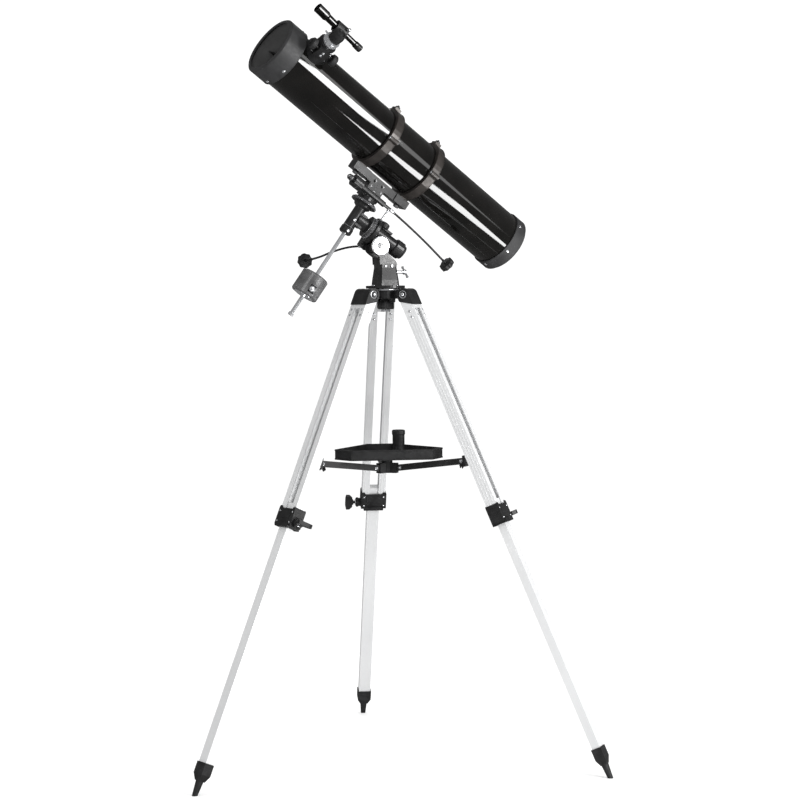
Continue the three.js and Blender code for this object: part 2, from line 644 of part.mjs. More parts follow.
// The clamp screw of a tube ring, with its knurled knob on the far side's ear.
function ringKnob() {
  const shaft = post(3.6, -26, 14, SIDES.small);
  const knob = turned([[0, 12.5], [7, 12.5], [10.5, 16], [10.5, 27], [8.5, 30], [0, 30]], 20);
  return combine([shaft, knob]);
}

function tubeRings() {
  RINGS.forEach((x, i) => {
    const label = i === 0 ? "front" : "rear";
    piece(tubeAxis, `ring_lower_${label}`, ringHalf(-1, x), MAT.bronze);
    piece(tubeAxis, `ring_upper_${label}`, ringHalf(1, x), MAT.bronze);
    const turn = group(tubeAxis, [x, 0, 0], [rad(-RING_SPLIT), 0, 0]);
    const knob = piece(turn, `ring_knob_${label}`, ringKnob(), MAT.plastic);
    knob.position.y = -RING.screw;
  });
}

// ---------------------------------------------------------------- optical tube
// Tube-side pieces that stand at a turn round the tube: local Z points out of the tube.
const aroundTube = (station, degrees) => group(tubeAxis, [station, 0, 0], [rad(-degrees), 0, 0]);

function opticalTube() {
  const { radius, wall, front, rear } = TUBE;
  const skin = hoopX(radius - wall, radius, rear, front, SIDES.large);
  const port = post(21, 40, radius + 20, SIDES.medium).rotateX(rad(-FOCUSER.turn)).translate(FOCUSER.station, 0, 0);
  piece(tubeAxis, "optical_tube", combine([skin], [port]), MAT.gloss);
}

function frontRing() {
  const { radius, length, front, opening } = FRONT_RING;
  const inner = TUBE.radius + GAP;
  const profile = [
    [inner, front - length], [radius, front - length], [radius, front - 3], [radius - 3, front],
    [opening, front], [opening, TUBE.front + GAP], [inner, TUBE.front + GAP], [inner, front - length],
  ];
  const ring = turnedX(profile, SIDES.large);
  const focuserCut = post(39, 40, 140, SIDES.medium).rotateX(rad(-FOCUSER.turn)).translate(FOCUSER.station, 0, 0);
  piece(tubeAxis, "front_ring", combine([ring], [focuserCut]), MAT.satin);
}

function rearCell() {
  const { radius, length, rear } = REAR_CELL;
  const skirt = TUBE.radius + GAP;
  const seat = TUBE.rear - GAP;
  const profile = [
    [0, rear], [radius - 5, rear], [radius, rear + 5], [radius, rear + length],
    [skirt, rear + length], [skirt, seat], [70, seat], [70, rear + 6], [0, rear + 6],
  ];
  const cell = turnedX(profile, SIDES.large);
  const vents = [];
  for (let i = 0; i < 3; i++) {
    const vent = box([rear - 2, -20, 30], [rear + 8, 20, 50]);
    vents.push(vent.rotateX(rad(120 * i + 60)));
  }
  piece(tubeAxis, "rear_cell", combine([cell], vents), MAT.satin);
}

// The mirror on its own holder, which three screws join to the cell.
function primaryMirror() {
  const back = REAR_CELL.rear + 6 + GAP;
  const glass = turnedX([[0, back + 14], [65, back + 14], [65, back + 31], [40, back + 29.6], [0, back + 29]], 36);
  const plate = turnedX([[0, back], [60, back], [68, back + 8], [68, back + 15], [0, back + 15]], 36);
  piece(tubeAxis, "primary_mirror", combine([plate, glass]), MAT.glass);
}

// Four vanes, the hub and the slanted flat mirror under the focuser.
function secondaryMirror() {
  const reach = TUBE.radius - TUBE.wall - GAP;
  const centre = FOCUSER.station;
  const added = [postX(17.5, centre - 24, centre + 30, 20), postX(15, centre + 28, centre + 60, 20)];
  for (let i = 0; i < 4; i++) {
    const vane = box([centre + 34, 0, -0.8], [centre + 56, reach - 1, 0.8]);
    added.push(vane.rotateX(rad(45 + 90 * i - FOCUSER.turn)));
  }
  const slant = box([-60, -40, 0], [60, 40, 80]).rotateY(rad(-45)).translate(centre, 0, 0);
  piece(tubeAxis, "secondary_mirror", combine(added, [slant.rotateX(rad(-FOCUSER.turn))]), MAT.plastic);
}

// ---------------------------------------------------------------- focuser and finder
const FOCUS_AXLE = { y: 24, z: 108, half: 46 };
const DRAWTUBE = { radius: 18.6, inner: 60, outer: 142 };

function focuser() {
  const frame = aroundTube(FOCUSER.station, FOCUSER.turn);
  const saddleCut = postX(TUBE.radius + GAP, -90, 90, SIDES.large);
  const flange = post(36, 40, 88, SIDES.medium);
  const body = post(26, 80, 124, SIDES.medium);
  const gearBox = box([-17, 0, 84], [17, FOCUS_AXLE.y + 9, FOCUS_AXLE.z + 10]);
  const axleHole = postX(4.2, -40, 40, SIDES.small).translate(0, FOCUS_AXLE.y, FOCUS_AXLE.z);
  const tubeHole = post(DRAWTUBE.radius + GAP, 30, 140, SIDES.medium);
  const cut = [saddleCut, tubeHole, axleHole];
  piece(frame, "focuser_body", combine([flange, body, gearBox], cut), MAT.plastic);

  const drawtube = turned([
    [16, DRAWTUBE.inner], [DRAWTUBE.radius, DRAWTUBE.inner], [DRAWTUBE.radius, 128], [22, 128.5],
    [22, DRAWTUBE.outer], [16.4, DRAWTUBE.outer], [16.4, 100], [16, 100], [16, DRAWTUBE.inner],
  ]);
  piece(frame, "focuser_drawtube", drawtube, MAT.chrome);

  const axle = postX(3.6, -FOCUS_AXLE.half, FOCUS_AXLE.half, SIDES.small);
  const knobs = [-1, 1].map((sign) => {
    const knob = turnedX([[0, 0], [13, 0], [15, 2], [15, 13], [12, 16], [0, 16]], 20);
    return knob.rotateY(sign < 0 ? Math.PI : 0).translate(sign * (FOCUS_AXLE.half - 18), 0, 0);
  });
  const mesh = piece(frame, "focus_knobs", combine([axle, ...knobs]), MAT.plastic);
  mesh.position.set(0, FOCUS_AXLE.y, FOCUS_AXLE.z);

  const eyepiece = turned([
    [0, 112], [15.8, 112], [15.8, DRAWTUBE.outer + GAP], [17, DRAWTUBE.outer + GAP], [17.5, 162],
    [15, 172], [11, 173], [9, 170], [0, 170],
  ], 24);
  piece(frame, "eyepiece", eyepiece, MAT.plastic);
}

function finder() {
  const frame = aroundTube(FINDER.station, FINDER.turn);
  const half = FINDER.length / 2;
  const scope = turnedX([
    [0, -half], [8.5, -half], [9.5, -half + 3], [9.5, -half + 22], [8, -half + 26], [8, -20],
    [9.8, -14], [9.8, 8], [10.5, half - 40], [13, half - 34], [13, half], [11, half], [11, half - 6], [0, half - 6],
  ], 24);
  const mesh = piece(frame, "finder_tube", scope, MAT.gloss);
  mesh.position.z = FINDER.radius;
  mesh.rotation.y = rad(-FINDER.tilt);

  const clearance = 3;
  const ring = hoopX(9.8 + clearance, 9.8 + clearance + 4, -22, 14, 24).translate(0, 0, FINDER.radius);
  const stalk = box([-18, -5, 82], [10, 5, FINDER.radius - 9.8 - clearance - 2]);
  const shoe = box([-30, -9, 70], [26, 9, 86]);
  const saddleCut = postX(TUBE.radius + GAP, -60, 60, SIDES.large);
  const screws = [60, 180, 300].map((turn) => {
    const screw = post(2.2, 11.8, 26, 10).rotateX(rad(turn));
    return screw.translate(-16, 0, FINDER.radius);
  });
  piece(frame, "finder_bracket", combine([ring, stalk, shoe, ...screws], [saddleCut]), MAT.plastic);
}

// ---------------------------------------------------------------- assembly
tripodHub();
for (let i = 0; i < 3; i++) {
  leg(i);
  spreaderArm(i);
}
spreaderHub();
accessoryTray();
spareEyepiece();
azimuthKnob();
azimuthBase();
latitudeDial();
latitudeScrew();
raHousing();
raClutchKnob();
raSettingCircle();
raCable();
cableKnob(polar, "ra_knob", RA_CABLE);
decHousing();
decSettingCircle();
counterweight();
decHead();
decCable();
cableKnob(saddle, "dec_knob", DEC_CABLE);
mountingBar();
tubeRings();
opticalTube();
frontRing();
rearCell();
primaryMirror();
secondaryMirror();
focuser();
finder();

export default telescope;
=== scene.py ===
"""Looks of the telescope on its tripod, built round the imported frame. Metres, +Z up."""

import json
import math

import bmesh
import bpy
from mathutils import Matrix, Vector


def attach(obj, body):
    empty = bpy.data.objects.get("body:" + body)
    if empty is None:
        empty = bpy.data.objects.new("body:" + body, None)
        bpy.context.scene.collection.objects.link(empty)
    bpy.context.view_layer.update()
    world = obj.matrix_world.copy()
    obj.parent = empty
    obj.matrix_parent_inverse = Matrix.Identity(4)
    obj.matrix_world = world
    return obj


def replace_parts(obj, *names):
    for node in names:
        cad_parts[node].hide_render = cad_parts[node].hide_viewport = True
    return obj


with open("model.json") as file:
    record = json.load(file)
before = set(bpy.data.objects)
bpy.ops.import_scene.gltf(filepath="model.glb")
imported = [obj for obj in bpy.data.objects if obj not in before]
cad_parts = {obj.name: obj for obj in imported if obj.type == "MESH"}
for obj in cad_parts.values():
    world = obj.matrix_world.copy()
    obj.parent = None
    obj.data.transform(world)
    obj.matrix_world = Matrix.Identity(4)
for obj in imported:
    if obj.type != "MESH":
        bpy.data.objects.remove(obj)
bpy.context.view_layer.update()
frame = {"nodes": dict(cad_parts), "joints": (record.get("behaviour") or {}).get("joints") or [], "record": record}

MM = 0.001
LEGS = "abc"
SIDES = (-1, 1)
X, Y, Z = (1, 0, 0), (0, 1, 0), (0, 0, 1)
joints = {joint["name"]: joint for joint in frame["joints"]}

# ---------------------------------------------------------------- camera
CAMERA_OFFSET = (-2.0685, -4.8309)  # from the tripod's axis
CAMERA_HEIGHT = 1.2279
CAMERA_TURN = math.radians(-23.58)
CAMERA_PITCH = math.radians(90 - 2.68)
CAMERA_ROLL = math.radians(-0.52)
FOCAL_LENGTH = 87.4
SENSOR_WIDTH = 36

tripod_axis = Vector(joints["azimuth_turn"]["pos_m"])


def make_camera():
    data = bpy.data.cameras.new("camera")
    data.sensor_width = SENSOR_WIDTH
    data.lens = FOCAL_LENGTH
    data.clip_end = 400
    camera = bpy.data.objects.new("camera", data)
    bpy.context.scene.collection.objects.link(camera)
    turn = Matrix.Rotation(CAMERA_TURN, 4, "Z")
    tilt = Matrix.Rotation(CAMERA_PITCH, 4, "X")
    roll = Matrix.Rotation(CAMERA_ROLL, 4, "Z")
    x, y = CAMERA_OFFSET
    place = Matrix.Translation((tripod_axis.x + x, tripod_axis.y + y, CAMERA_HEIGHT))
    camera.matrix_world = place @ turn @ tilt @ roll
    bpy.context.scene.camera = camera


make_camera()


# ---------------------------------------------------------------- frames taken from the joints
def axis_of(name):
    return Vector(joints[name]["axis"]).normalized()


def place_of(name):
    return Vector(joints[name]["pos_m"])


def make_frame(origin, x_axis, z_axis):
    """A frame with its Z along z_axis and its X as near x_axis as it can be, drawn in millimetres."""
    z = z_axis.normalized()
    y = z.cross(x_axis).normalized()
    x = y.cross(z)
    turn = Matrix((x, y, z)).transposed().to_4x4()
    return Matrix.Translation(origin) @ turn @ Matrix.Scale(MM, 4)


def placed(place, axis, degrees):
    """A move to a place after a turn about an axis."""
    return Matrix.Translation(place) @ Matrix.Rotation(math.radians(degrees), 4, axis)


RA_AXIS = axis_of("ra_turn")
TUBE_AXIS = axis_of("tube_roll")
DEC_AXIS = axis_of("dec_turn")
TRIPOD = make_frame(Vector((tripod_axis.x, tripod_axis.y, 0)), Vector((-1, 0, 0)), Vector(Z))
POLAR = make_frame(place_of("latitude_tilt"), RA_AXIS, axis_of("ra_clutch_turn"))
HEAD = make_frame(place_of("ra_turn"), RA_AXIS, DEC_AXIS)
SADDLE = make_frame(place_of("ra_turn"), TUBE_AXIS, DEC_AXIS)
TUBE = make_frame(place_of("tube_roll"), TUBE_AXIS, DEC_AXIS)

PIVOT_TO_SCREW = 648  # along a leg, from its pivot bolt to its clamp screw
SCREW_OUT = 60  # across a leg, from its middle to the screw's handle


def leg_frame(leg):
    """Origin on the leg's pivot, X outwards, Y along the pivot bolt and Z up along the leg."""
    up = axis_of(f"leg_slide_{leg}")
    across = axis_of(f"leg_screw_turn_{leg}")
    pivot = place_of(f"leg_screw_turn_{leg}") + up * PIVOT_TO_SCREW * MM - across * SCREW_OUT * MM
    return make_frame(pivot, across.cross(up), up)


# Stations are measured along the tube from the declination axis.
RINGS = {"front": 72, "rear": -85}
FOCUSER_STATION, FOCUSER_TURN = 381, 50
FINDER_STATION, FINDER_TURN = 350, 10
FINDER_HEIGHT, FINDER_TILT = 150, 3

FOCUSER = TUBE @ placed((FOCUSER_STATION, 0, 0), "X", -FOCUSER_TURN)
FINDER = TUBE @ placed((FINDER_STATION, 0, 0), "X", -FINDER_TURN)
SCOPE = FINDER @ placed((0, 0, FINDER_HEIGHT), "Y", -FINDER_TILT)


# ---------------------------------------------------------------- mesh helpers
BLOCK_FACES = ((0, 2, 3, 1), (4, 5, 7, 6), (0, 1, 5, 4), (2, 6, 7, 3), (0, 4, 6, 2), (1, 3, 7, 5))
BAND_SUNK = 0.8  # how deep a raised line's foot lies in its body


def circle(radius, degrees):
    """The two coordinates of a point on a circle about the origin."""
    angle = math.radians(degrees)
    return radius * math.cos(angle), radius * math.sin(angle)


def wall(inner, outer, low, high):
    """The section of a plain hollow cylinder."""
    return [(inner, low), (outer, low), (outer, high), (inner, high)]


def round_edges(piece, width, segments=2, angle=32):
    bevel = piece.modifiers.new("rounded edges", "BEVEL")
    bevel.width = width * MM
    bevel.segments = segments
    bevel.limit_method = "ANGLE"
    bevel.angle_limit = math.radians(angle)
    bevel.harden_normals = True


def shade(piece):
    for polygon in piece.data.polygons:
        polygon.use_smooth = True


class Form:
    """Mesh parts gathered in millimetres in one frame, made into one piece at the end."""

    def __init__(self):
        self.mesh = bmesh.new()

    def ring(self, points):
        return [self.mesh.verts.new(point) for point in points]

    def strips(self, rings):
        """Faces all the way round between each ring of vertices and the next."""
        for low, high in zip(rings, rings[1:]):
            for i in range(len(low)):
                j = (i + 1) % len(low)
                self.mesh.faces.new((low[i], low[j], high[j], high[i]))

    def ends(self, rings):
        """Faces across the first ring and the last."""
        self.mesh.faces.new(list(reversed(rings[0])))
        self.mesh.faces.new(rings[-1])

    def rings_about(self, profile, at, axis, sides, wave=0.0, lobes=0):
        """A ring of vertices about an axis for each (radius, height) pair."""
        along = Vector(axis).normalized()
        aside = along.orthogonal().normalized()
        across = along.cross(aside)
        rings = []
        for radius, height in profile:
            points = []
            for i in range(sides):
                angle = 2 * math.pi * i / sides
                reach = radius - wave * (0.5 - 0.5 * math.cos(lobes * angle))
                spoke = aside * math.cos(angle) + across * math.sin(angle)
                points.append(Vector(at) + along * height + spoke * reach)
            rings.append(self.ring(points))
        return rings

    def turn(self, profile, at=(0, 0, 0), axis=Z, sides=24, wave=0.0, lobes=0):
        """A closed body turned from (radius, height) pairs, its rim scalloped where it has lobes."""
        rings = self.rings_about(profile, at, axis, sides, wave, lobes)
        self.strips(rings)
        self.ends(rings)

    def tube(self, section, at=(0, 0, 0), axis=Z, sides=64):
        """A hollow body turned about an axis from the corners of its section."""
        rings = self.rings_about(section, at, axis, sides)
        self.strips([*rings, rings[0]])

    def band(self, radius, height, at=(0, 0, 0), axis=Z, half=1.0, proud=0.5, sides=64):
        """A slim raised line round a body."""
        inside = radius - BAND_SUNK
        section = [(inside, height - half), (radius + proud, height), (inside, height + half)]
        self.tube(section, at, axis, sides)

    def block(self, low, high, turn=None):
        """A block from its two corners, moved by a matrix if one is given."""
        corners = [
            Vector((x, y, z))
            for z in (low[2], high[2]) for y in (low[1], high[1]) for x in (low[0], high[0])
        ]
        if turn is not None:
            corners = [turn @ corner for corner in corners]
        made = self.ring(corners)
        for face in BLOCK_FACES:
            self.mesh.faces.new([made[i] for i in face])

    def bar(self, middle, half, turn=None):
        """A block from its middle and its half sizes."""
        low = [m - h for m, h in zip(middle, half)]
        high = [m + h for m, h in zip(middle, half)]
        self.block(low, high, turn)

    def screw(self, at, axis, radius, height=None):
        """A pan-head screw with a washer under it."""
        height = height or radius * 0.6
        washer = radius * 1.35
        self.turn([(washer, -0.6), (washer, 0.5), (radius * 1.2, 0.7)], at, axis, 20)
        dome = [(radius * 0.8, height), (radius * 0.3, height * 0.93)]
        self.turn([(radius, 0.6), (radius, height * 0.6), *dome], at, axis, 16)

    def piece(self, name, frame_in, body, material, slot, edge=0.25):
        bmesh.ops.recalc_face_normals(self.mesh, faces=self.mesh.faces)
        data = bpy.data.meshes.new(name)
        self.mesh.to_mesh(data)
        self.mesh.free()
        data.transform(frame_in)
        data.materials.append(MATERIALS[material])
        obj = bpy.data.objects.new(name, data)
        bpy.context.scene.collection.objects.link(obj)
        shade(obj)
        if edge:
            round_edges(obj, edge, 1)
        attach(obj, body)
        return obj


# ---------------------------------------------------------------- node helpers
class Paint:
    """A material's node tree with the few nodes that the materials here are made of."""

    def __init__(self, name, **values):
        self.material = bpy.data.materials.new(name)
        self.material.use_nodes = True
        self.tree = self.material.node_tree
        self.shader = self.tree.nodes["Principled BSDF"]
        for key, value in values.items():
            self.shader.inputs[key.replace("_", " ")].default_value = value

    def node(self, kind, **values):
        made = self.tree.nodes.new(kind)
        for key, value in values.items():
            setattr(made, key, value)
        return made

    def link(self, source, target):
        self.tree.links.new(source, target)

    def coordinates(self, turn=None, stretch=(1, 1, 1)):
        """Object coordinates, turned into a frame's own directions and stretched there."""
        source = self.node("ShaderNodeTexCoord").outputs["Object"]
        if turn is not None:
            turned = self.node("ShaderNodeMapping")
            turned.inputs["Rotation"].default_value = turn.to_3x3().normalized().inverted().to_euler()
            self.link(source, turned.inputs["Vector"])
            source = turned.outputs["Vector"]
        scaled = self.node("ShaderNodeMapping")
        scaled.inputs["Scale"].default_value = stretch
        self.link(source, scaled.inputs["Vector"])
        return scaled.outputs["Vector"]

    def noise(self, scale, detail=3, turn=None, stretch=(1, 1, 1)):
        texture = self.node("ShaderNodeTexNoise")
        texture.inputs["Scale"].default_value = scale
        texture.inputs["Detail"].default_value = detail
        self.link(self.coordinates(turn, stretch), texture.inputs["Vector"])
        return texture.outputs["Fac"]

    def ramp(self, source, *stops):
        """stops are (place, value) pairs, where a value is a number for grey or an RGB colour."""
        ramp = self.node("ShaderNodeValToRGB")
        elements = ramp.color_ramp.elements
        while len(elements) < len(stops):
            elements.new(0.5)
        for element, (place, value) in zip(elements, stops):
            element.position = place
            colour = (value, value, value) if isinstance(value, (int, float)) else value
            element.color = (*colour, 1)
        self.link(source, ramp.inputs["Fac"])
        return ramp.outputs["Color"]

    def colour(self, source, *stops):
        self.link(self.ramp(source, *stops), self.shader.inputs["Base Color"])

    def roughness(self, source, *stops):
        self.link(self.ramp(source, *stops), self.shader.inputs["Roughness"])

    def bump(self, source, strength, distance):
        bump = self.node("ShaderNodeBump")
        bump.inputs["Strength"].default_value = strength
        bump.inputs["Distance"].default_value = distance
        self.link(source, bump.inputs["Height"])
        self.link(bump.outputs["Normal"], self.shader.inputs["Normal"])


# ---------------------------------------------------------------- materials
def gloss_black():
    paint = Paint("gloss_black", Specular_IOR_Level=0.38, Coat_Weight=0.35, Coat_Roughness=0.03)
    paint.colour(paint.noise(14), (0.35, (0.0035, 0.0033, 0.003)), (0.7, (0.007, 0.0065, 0.006)))
    paint.roughness(paint.noise(9, 3), (0.35, 0.05), (0.7, 0.08))
    return paint.material


def moulded_black(name, low=0.008, high=0.018, rough=0.4):
    paint = Paint(name)
    paint.colour(paint.noise(35, 4), (0.3, (low, low, low * 1.04)), (0.7, (high, high, high * 1.04)))
    paint.roughness(paint.noise(140, 3), (0.35, rough), (0.7, rough + 0.14))
    paint.bump(paint.noise(2400, 2), 0.16, 0.0002)
    return paint.material


def graphite():
    """Dark metallic paint with a fine hammered skin and rubbed patches."""
    paint = Paint("graphite", Metallic=0.15, Coat_Weight=0.15, Coat_Roughness=0.15)
    paint.colour(paint.noise(30, 5), (0.3, (0.009, 0.009, 0.0093)), (0.72, (0.026, 0.026, 0.0265)))
    paint.roughness(paint.noise(120, 4), (0.3, 0.26), (0.75, 0.42))
    paint.bump(paint.noise(700, 3), 0.08, 0.0004)
    return paint.material


def bronze():
    paint = Paint("ring_paint", Metallic=0.5, Coat_Weight=0.2, Coat_Roughness=0.2)
    paint.colour(paint.noise(26, 4), (0.3, (0.032, 0.028, 0.026)), (0.72, (0.066, 0.058, 0.053)))
    paint.roughness(paint.noise(160, 4), (0.3, 0.3), (0.75, 0.42))
    paint.bump(paint.noise(900, 3), 0.12, 0.0003)
    return paint.material


def brushed_aluminium(name, turn):
    """Satin extrusion with its grain along the frame's Z."""
    paint = Paint(name, Metallic=0.3, Specular_IOR_Level=0.6)
    grain = paint.noise(90, 4, turn, (9, 9, 0.12))
    cloud = paint.noise(6, 3, turn, (1, 1, 0.4))
    paint.colour(cloud, (0.3, (0.7, 0.705, 0.71)), (0.7, (0.79, 0.795, 0.8)))
    paint.roughness(grain, (0.3, 0.3), (0.72, 0.46))
    paint.bump(grain, 0.05, 0.0002)
    return paint.material


def chrome():
    paint = Paint("chrome", Metallic=0.75)
    paint.colour(paint.noise(25, 3), (0.3, (0.62, 0.63, 0.65)), (0.7, (0.8, 0.81, 0.83)))
    paint.roughness(paint.noise(300, 4), (0.35, 0.1), (0.75, 0.22))
    paint.bump(paint.noise(900, 3), 0.03, 0.0002)
    return paint.material


def worn_steel():
    paint = Paint("worn_steel", Metallic=0.6)
    paint.colour(paint.noise(40, 4), (0.3, (0.12, 0.12, 0.122)), (0.7, (0.24, 0.24, 0.243)))
    paint.roughness(paint.noise(260, 4), (0.35, 0.22), (0.75, 0.38))
    paint.bump(paint.noise(900, 3), 0.04, 0.0002)
    return paint.material


def soft_black():
    paint = Paint("soft_black", Specular_IOR_Level=0.35)
    paint.colour(paint.noise(60, 4), (0.3, (0.012, 0.012, 0.012)), (0.7, (0.024, 0.024, 0.025)))
    paint.roughness(paint.noise(200, 3), (0.3, 0.5), (0.7, 0.68))
    paint.bump(paint.noise(1600, 3), 0.2, 0.0002)
    return paint.material


def dial_white():
    paint = Paint("dial_white", Coat_Weight=0.3, Coat_Roughness=0.2)
    paint.colour(paint.noise(50, 4), (0.3, (0.82, 0.82, 0.8)), (0.7, (0.9, 0.9, 0.89)))
    paint.roughness(paint.noise(180, 3), (0.3, 0.3), (0.7, 0.45))
    paint.bump(paint.noise(1200, 2), 0.05, 0.0002)
    return paint.material


def mirror_glass():
    paint = Paint("mirror_glass", Metallic=1.0)
    paint.colour(paint.noise(8, 2), (0.3, (0.82, 0.86, 0.9)), (0.7, (0.88, 0.91, 0.94)))
    paint.roughness(paint.noise(40, 3), (0.3, 0.02), (0.7, 0.05))
    return paint.material


def flat_black():
    """The blackened inside of the tube."""
    paint = Paint("flat_black", Specular_IOR_Level=0.2)
    paint.colour(paint.noise(20, 3), (0.3, (0.05, 0.05, 0.05)), (0.7, (0.08, 0.08, 0.08)))
    paint.roughness(paint.noise(90, 3), (0.3, 0.7), (0.7, 0.85))
    paint.bump(paint.noise(1500, 3), 0.2, 0.0002)
    return paint.material


def sheath():
    """The dark steel winding of the slow-motion cables."""
    paint = Paint("cable_sheath", Metallic=0.1)
    paint.colour(paint.noise(90, 3), (0.3, (0.01, 0.01, 0.0105)), (0.7, (0.026, 0.026, 0.027)))
    paint.roughness(paint.noise(300, 3), (0.3, 0.32), (0.7, 0.5))
    return paint.material


def coated_glass():
    """A lens seen from outside: dark, with a faint purple-blue coating."""
    paint = Paint("coated_glass", Coat_Weight=1.0, Coat_Roughness=0.02)
    paint.colour(paint.noise(30, 2), (0.3, (0.006, 0.006, 0.014)), (0.7, (0.014, 0.01, 0.028)))
    paint.roughness(paint.noise(120, 2), (0.3, 0.04), (0.7, 0.08))
    return paint.material


MATERIALS = {
    "gloss": gloss_black(),
    "plastic": moulded_black("moulded_black"),
    "grey": moulded_black("cap_grey", 0.022, 0.034, 0.45),
    "graphite": graphite(),
    "bronze": bronze(),
    "chrome": chrome(),
    "steel": worn_steel(),
    "rubber": soft_black(),
    "dial": dial_white(),
    "mark": moulded_black("mark_grey", 0.3, 0.42, 0.5),
    "mirror": mirror_glass(),
    "lens": coated_glass(),
    "sheath": sheath(),
    "flat": flat_black(),
}
for leg in LEGS:
    MATERIALS[f"aluminium_{leg}"] = brushed_aluminium(f"aluminium_{leg}", leg_frame(leg))

# ---------------------------------------------------------------- materials and edges of the CAD nodes
SLOT_MATERIAL = {
    "gloss": "gloss",
    "plastic": "plastic",
    "graphite": "graphite",
    "satin": "grey",
    "bronze": "bronze",
    "chrome": "chrome",
    "rubber": "rubber",
    "cable": "rubber",
    "dial": "dial",
    "mirror": "mirror",
}
NODE_MATERIAL = {"counterweight": "steel", "secondary_mirror": "grey"}
# Widths of the rounded edges, in millimetres, by slot and for every other slot.
EDGE = {"aluminium": 0.8, "graphite": 1.0, "plastic": 0.8, "satin": 0.8, "bronze": 0.7}
PLAIN_EDGE = 0.5


def dress_nodes():
    for part in frame["record"]["subparts"]:
        name, slot = part["node"], part["material_slot"]
        node = frame["nodes"][name]
        key = f"aluminium_{name[-1]}" if slot == "aluminium" else SLOT_MATERIAL[slot]
        key = NODE_MATERIAL.get(name, key)
        node.data.materials.clear()
        node.data.materials.append(MATERIALS[key])
        shade(node)
        round_edges(node, EDGE.get(slot, PLAIN_EDGE))


dress_nodes()

# ---------------------------------------------------------------- slow-motion cables
CABLE_RADIUS = 3.2
WINDING = 3.0  # pitch of the sheath's winding
RIDGE = 0.3  # how far the winding stands in and out of the sheath's middle radius
SHEATH_SIDES = 14
SHEATH_STEP = 0.75
RA_CABLE = [
    (16.6, -47.6, -11), (22.6, -55.5, -14.4), (31.1, -71.1, -20.8), (39.5, -89.3, -29.2),
    (47.0, -107.5, -39.0), (53.7, -125.7, -49.8), (59.6, -144.8, -61.2), (64.1, -164.4, -72.1),
    (69.0, -185.9, -81.2), (72.3, -209.3, -87.2), (72.4, -231.6, -89.1),
]
DEC_CABLE = [
    (-65.4, 24, 72), (-100, 24, 71.2), (-140, 24.2, 69.5), (-180, 24.4, 67),
    (-220, 24.4, 63.8), (-255, 24.3, 60.2), (-285, 24, 57),
]


def smooth_line(points, spacing):
    """A centripetal Catmull-Rom line through the points, as points about that far apart."""
    given = [Vector(p) for p in points]
    given = [2 * given[0] - given[1], *given, 2 * given[-1] - given[-2]]
    line = []
    for p0, p1, p2, p3 in zip(given, given[1:], given[2:], given[3:]):
        t0, t1, t2 = (math.sqrt((b - a).length) for a, b in ((p0, p1), (p1, p2), (p2, p3)))
        start = ((p1 - p0) / t0 - (p2 - p0) / (t0 + t1) + (p2 - p1) / t1) * t1
        end = ((p2 - p1) / t1 - (p3 - p1) / (t1 + t2) + (p3 - p2) / t2) * t1
        steps = max(2, round((p2 - p1).length / spacing))
        for i in range(steps):
            t = i / steps
            line.append(
                p1 * (2 * t**3 - 3 * t**2 + 1) + start * (t**3 - 2 * t**2 + t)
                + p2 * (3 * t**2 - 2 * t**3) + end * (t**3 - t**2)
            )
    return [*line, given[-2]]


def winding_rings(form, line):
    """Rings of vertices along the line, whose reach follows the helix of the winding."""
    rings = []
    travelled = 0.0
    aside = (line[1] - line[0]).orthogonal().normalized()
    for before, point, after in zip([line[0], *line], line, [*line[1:], line[-1]]):
        along = (after - before).normalized()
        aside = (aside - along * aside.dot(along)).normalized()
        across = along.cross(aside)
        points = []
        for k in range(SHEATH_SIDES):
            angle = 2 * math.pi * k / SHEATH_SIDES
            reach = CABLE_RADIUS - RIDGE + RIDGE * math.sin(2 * math.pi * travelled / WINDING + angle)
            points.append(point + (aside * math.cos(angle) + across * math.sin(angle)) * reach)
        rings.append(form.ring(points))
        travelled += (after - point).length
    return rings


def wound_cable(name, points, frame_in, body):
    """A cable in a wound steel sheath, whose winding stands out as a helical ridge."""
    line = smooth_line(points, SHEATH_STEP)
    sheath = Form()
    rings = winding_rings(sheath, line)
    sheath.strips(rings)
    sheath.ends(rings)
    cable = sheath.piece(name + "_sheath", frame_in, body, "sheath", "cable", edge=0)
    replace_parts(cable, name)
    ferrule = Form()
    tip = line[0]
    ferrule.turn([(4.4, -3), (4.6, 0), (4.6, 9), (3.9, 10), (3.9, 12)], tip, line[8] - tip, 20)
    ferrule.piece(name + "_ferrule", frame_in, body, "chrome", "chrome")


wound_cable("ra_cable", RA_CABLE, POLAR, "polar")
wound_cable("dec_cable", DEC_CABLE, SADDLE, "saddle")

# ---------------------------------------------------------------- leg details
# In a leg's own frame, s is the distance below the pivot bolt.
LEG_HALF = 33
RAIL_FACE = 15
RAIL_TOP, RAIL_FOOT = 64, 612
CLAMP_FACE = 18
LOWER_FACE = 11.3
LOWER_TOP, LOWER_FOOT = 668, 1298
FOOT_TOP = 1303
RIVET = [(3.4, -1), (3.4, 0.6), (2.6, 1.6), (1, 2)]
SMALL_RIVET = [(2.8, -1), (2.8, 0.6), (2.1, 1.3), (0.8, 1.6)]


def both(values):
    return [(side, value) for side in SIDES for value in values]


def rail_beads(leg, own):
    """Fine raised lines down the rails."""
    middle, half = -(RAIL_TOP + RAIL_FOOT) / 2, (RAIL_FOOT - RAIL_TOP) / 2
    beads = Form()
    for side in SIDES:
        for y in (-27.5, -18.5, 18.5, 27.5):
            beads.bar((side * RAIL_FACE, y, middle), (0.5, 0.7, half))
        for x in (-8, 0, 8):
            beads.bar((x, side * LEG_HALF, middle), (0.7, 0.5, half))
    beads.piece(f"rail_beads_{leg}", own, "base", f"aluminium_{leg}", "aluminium")


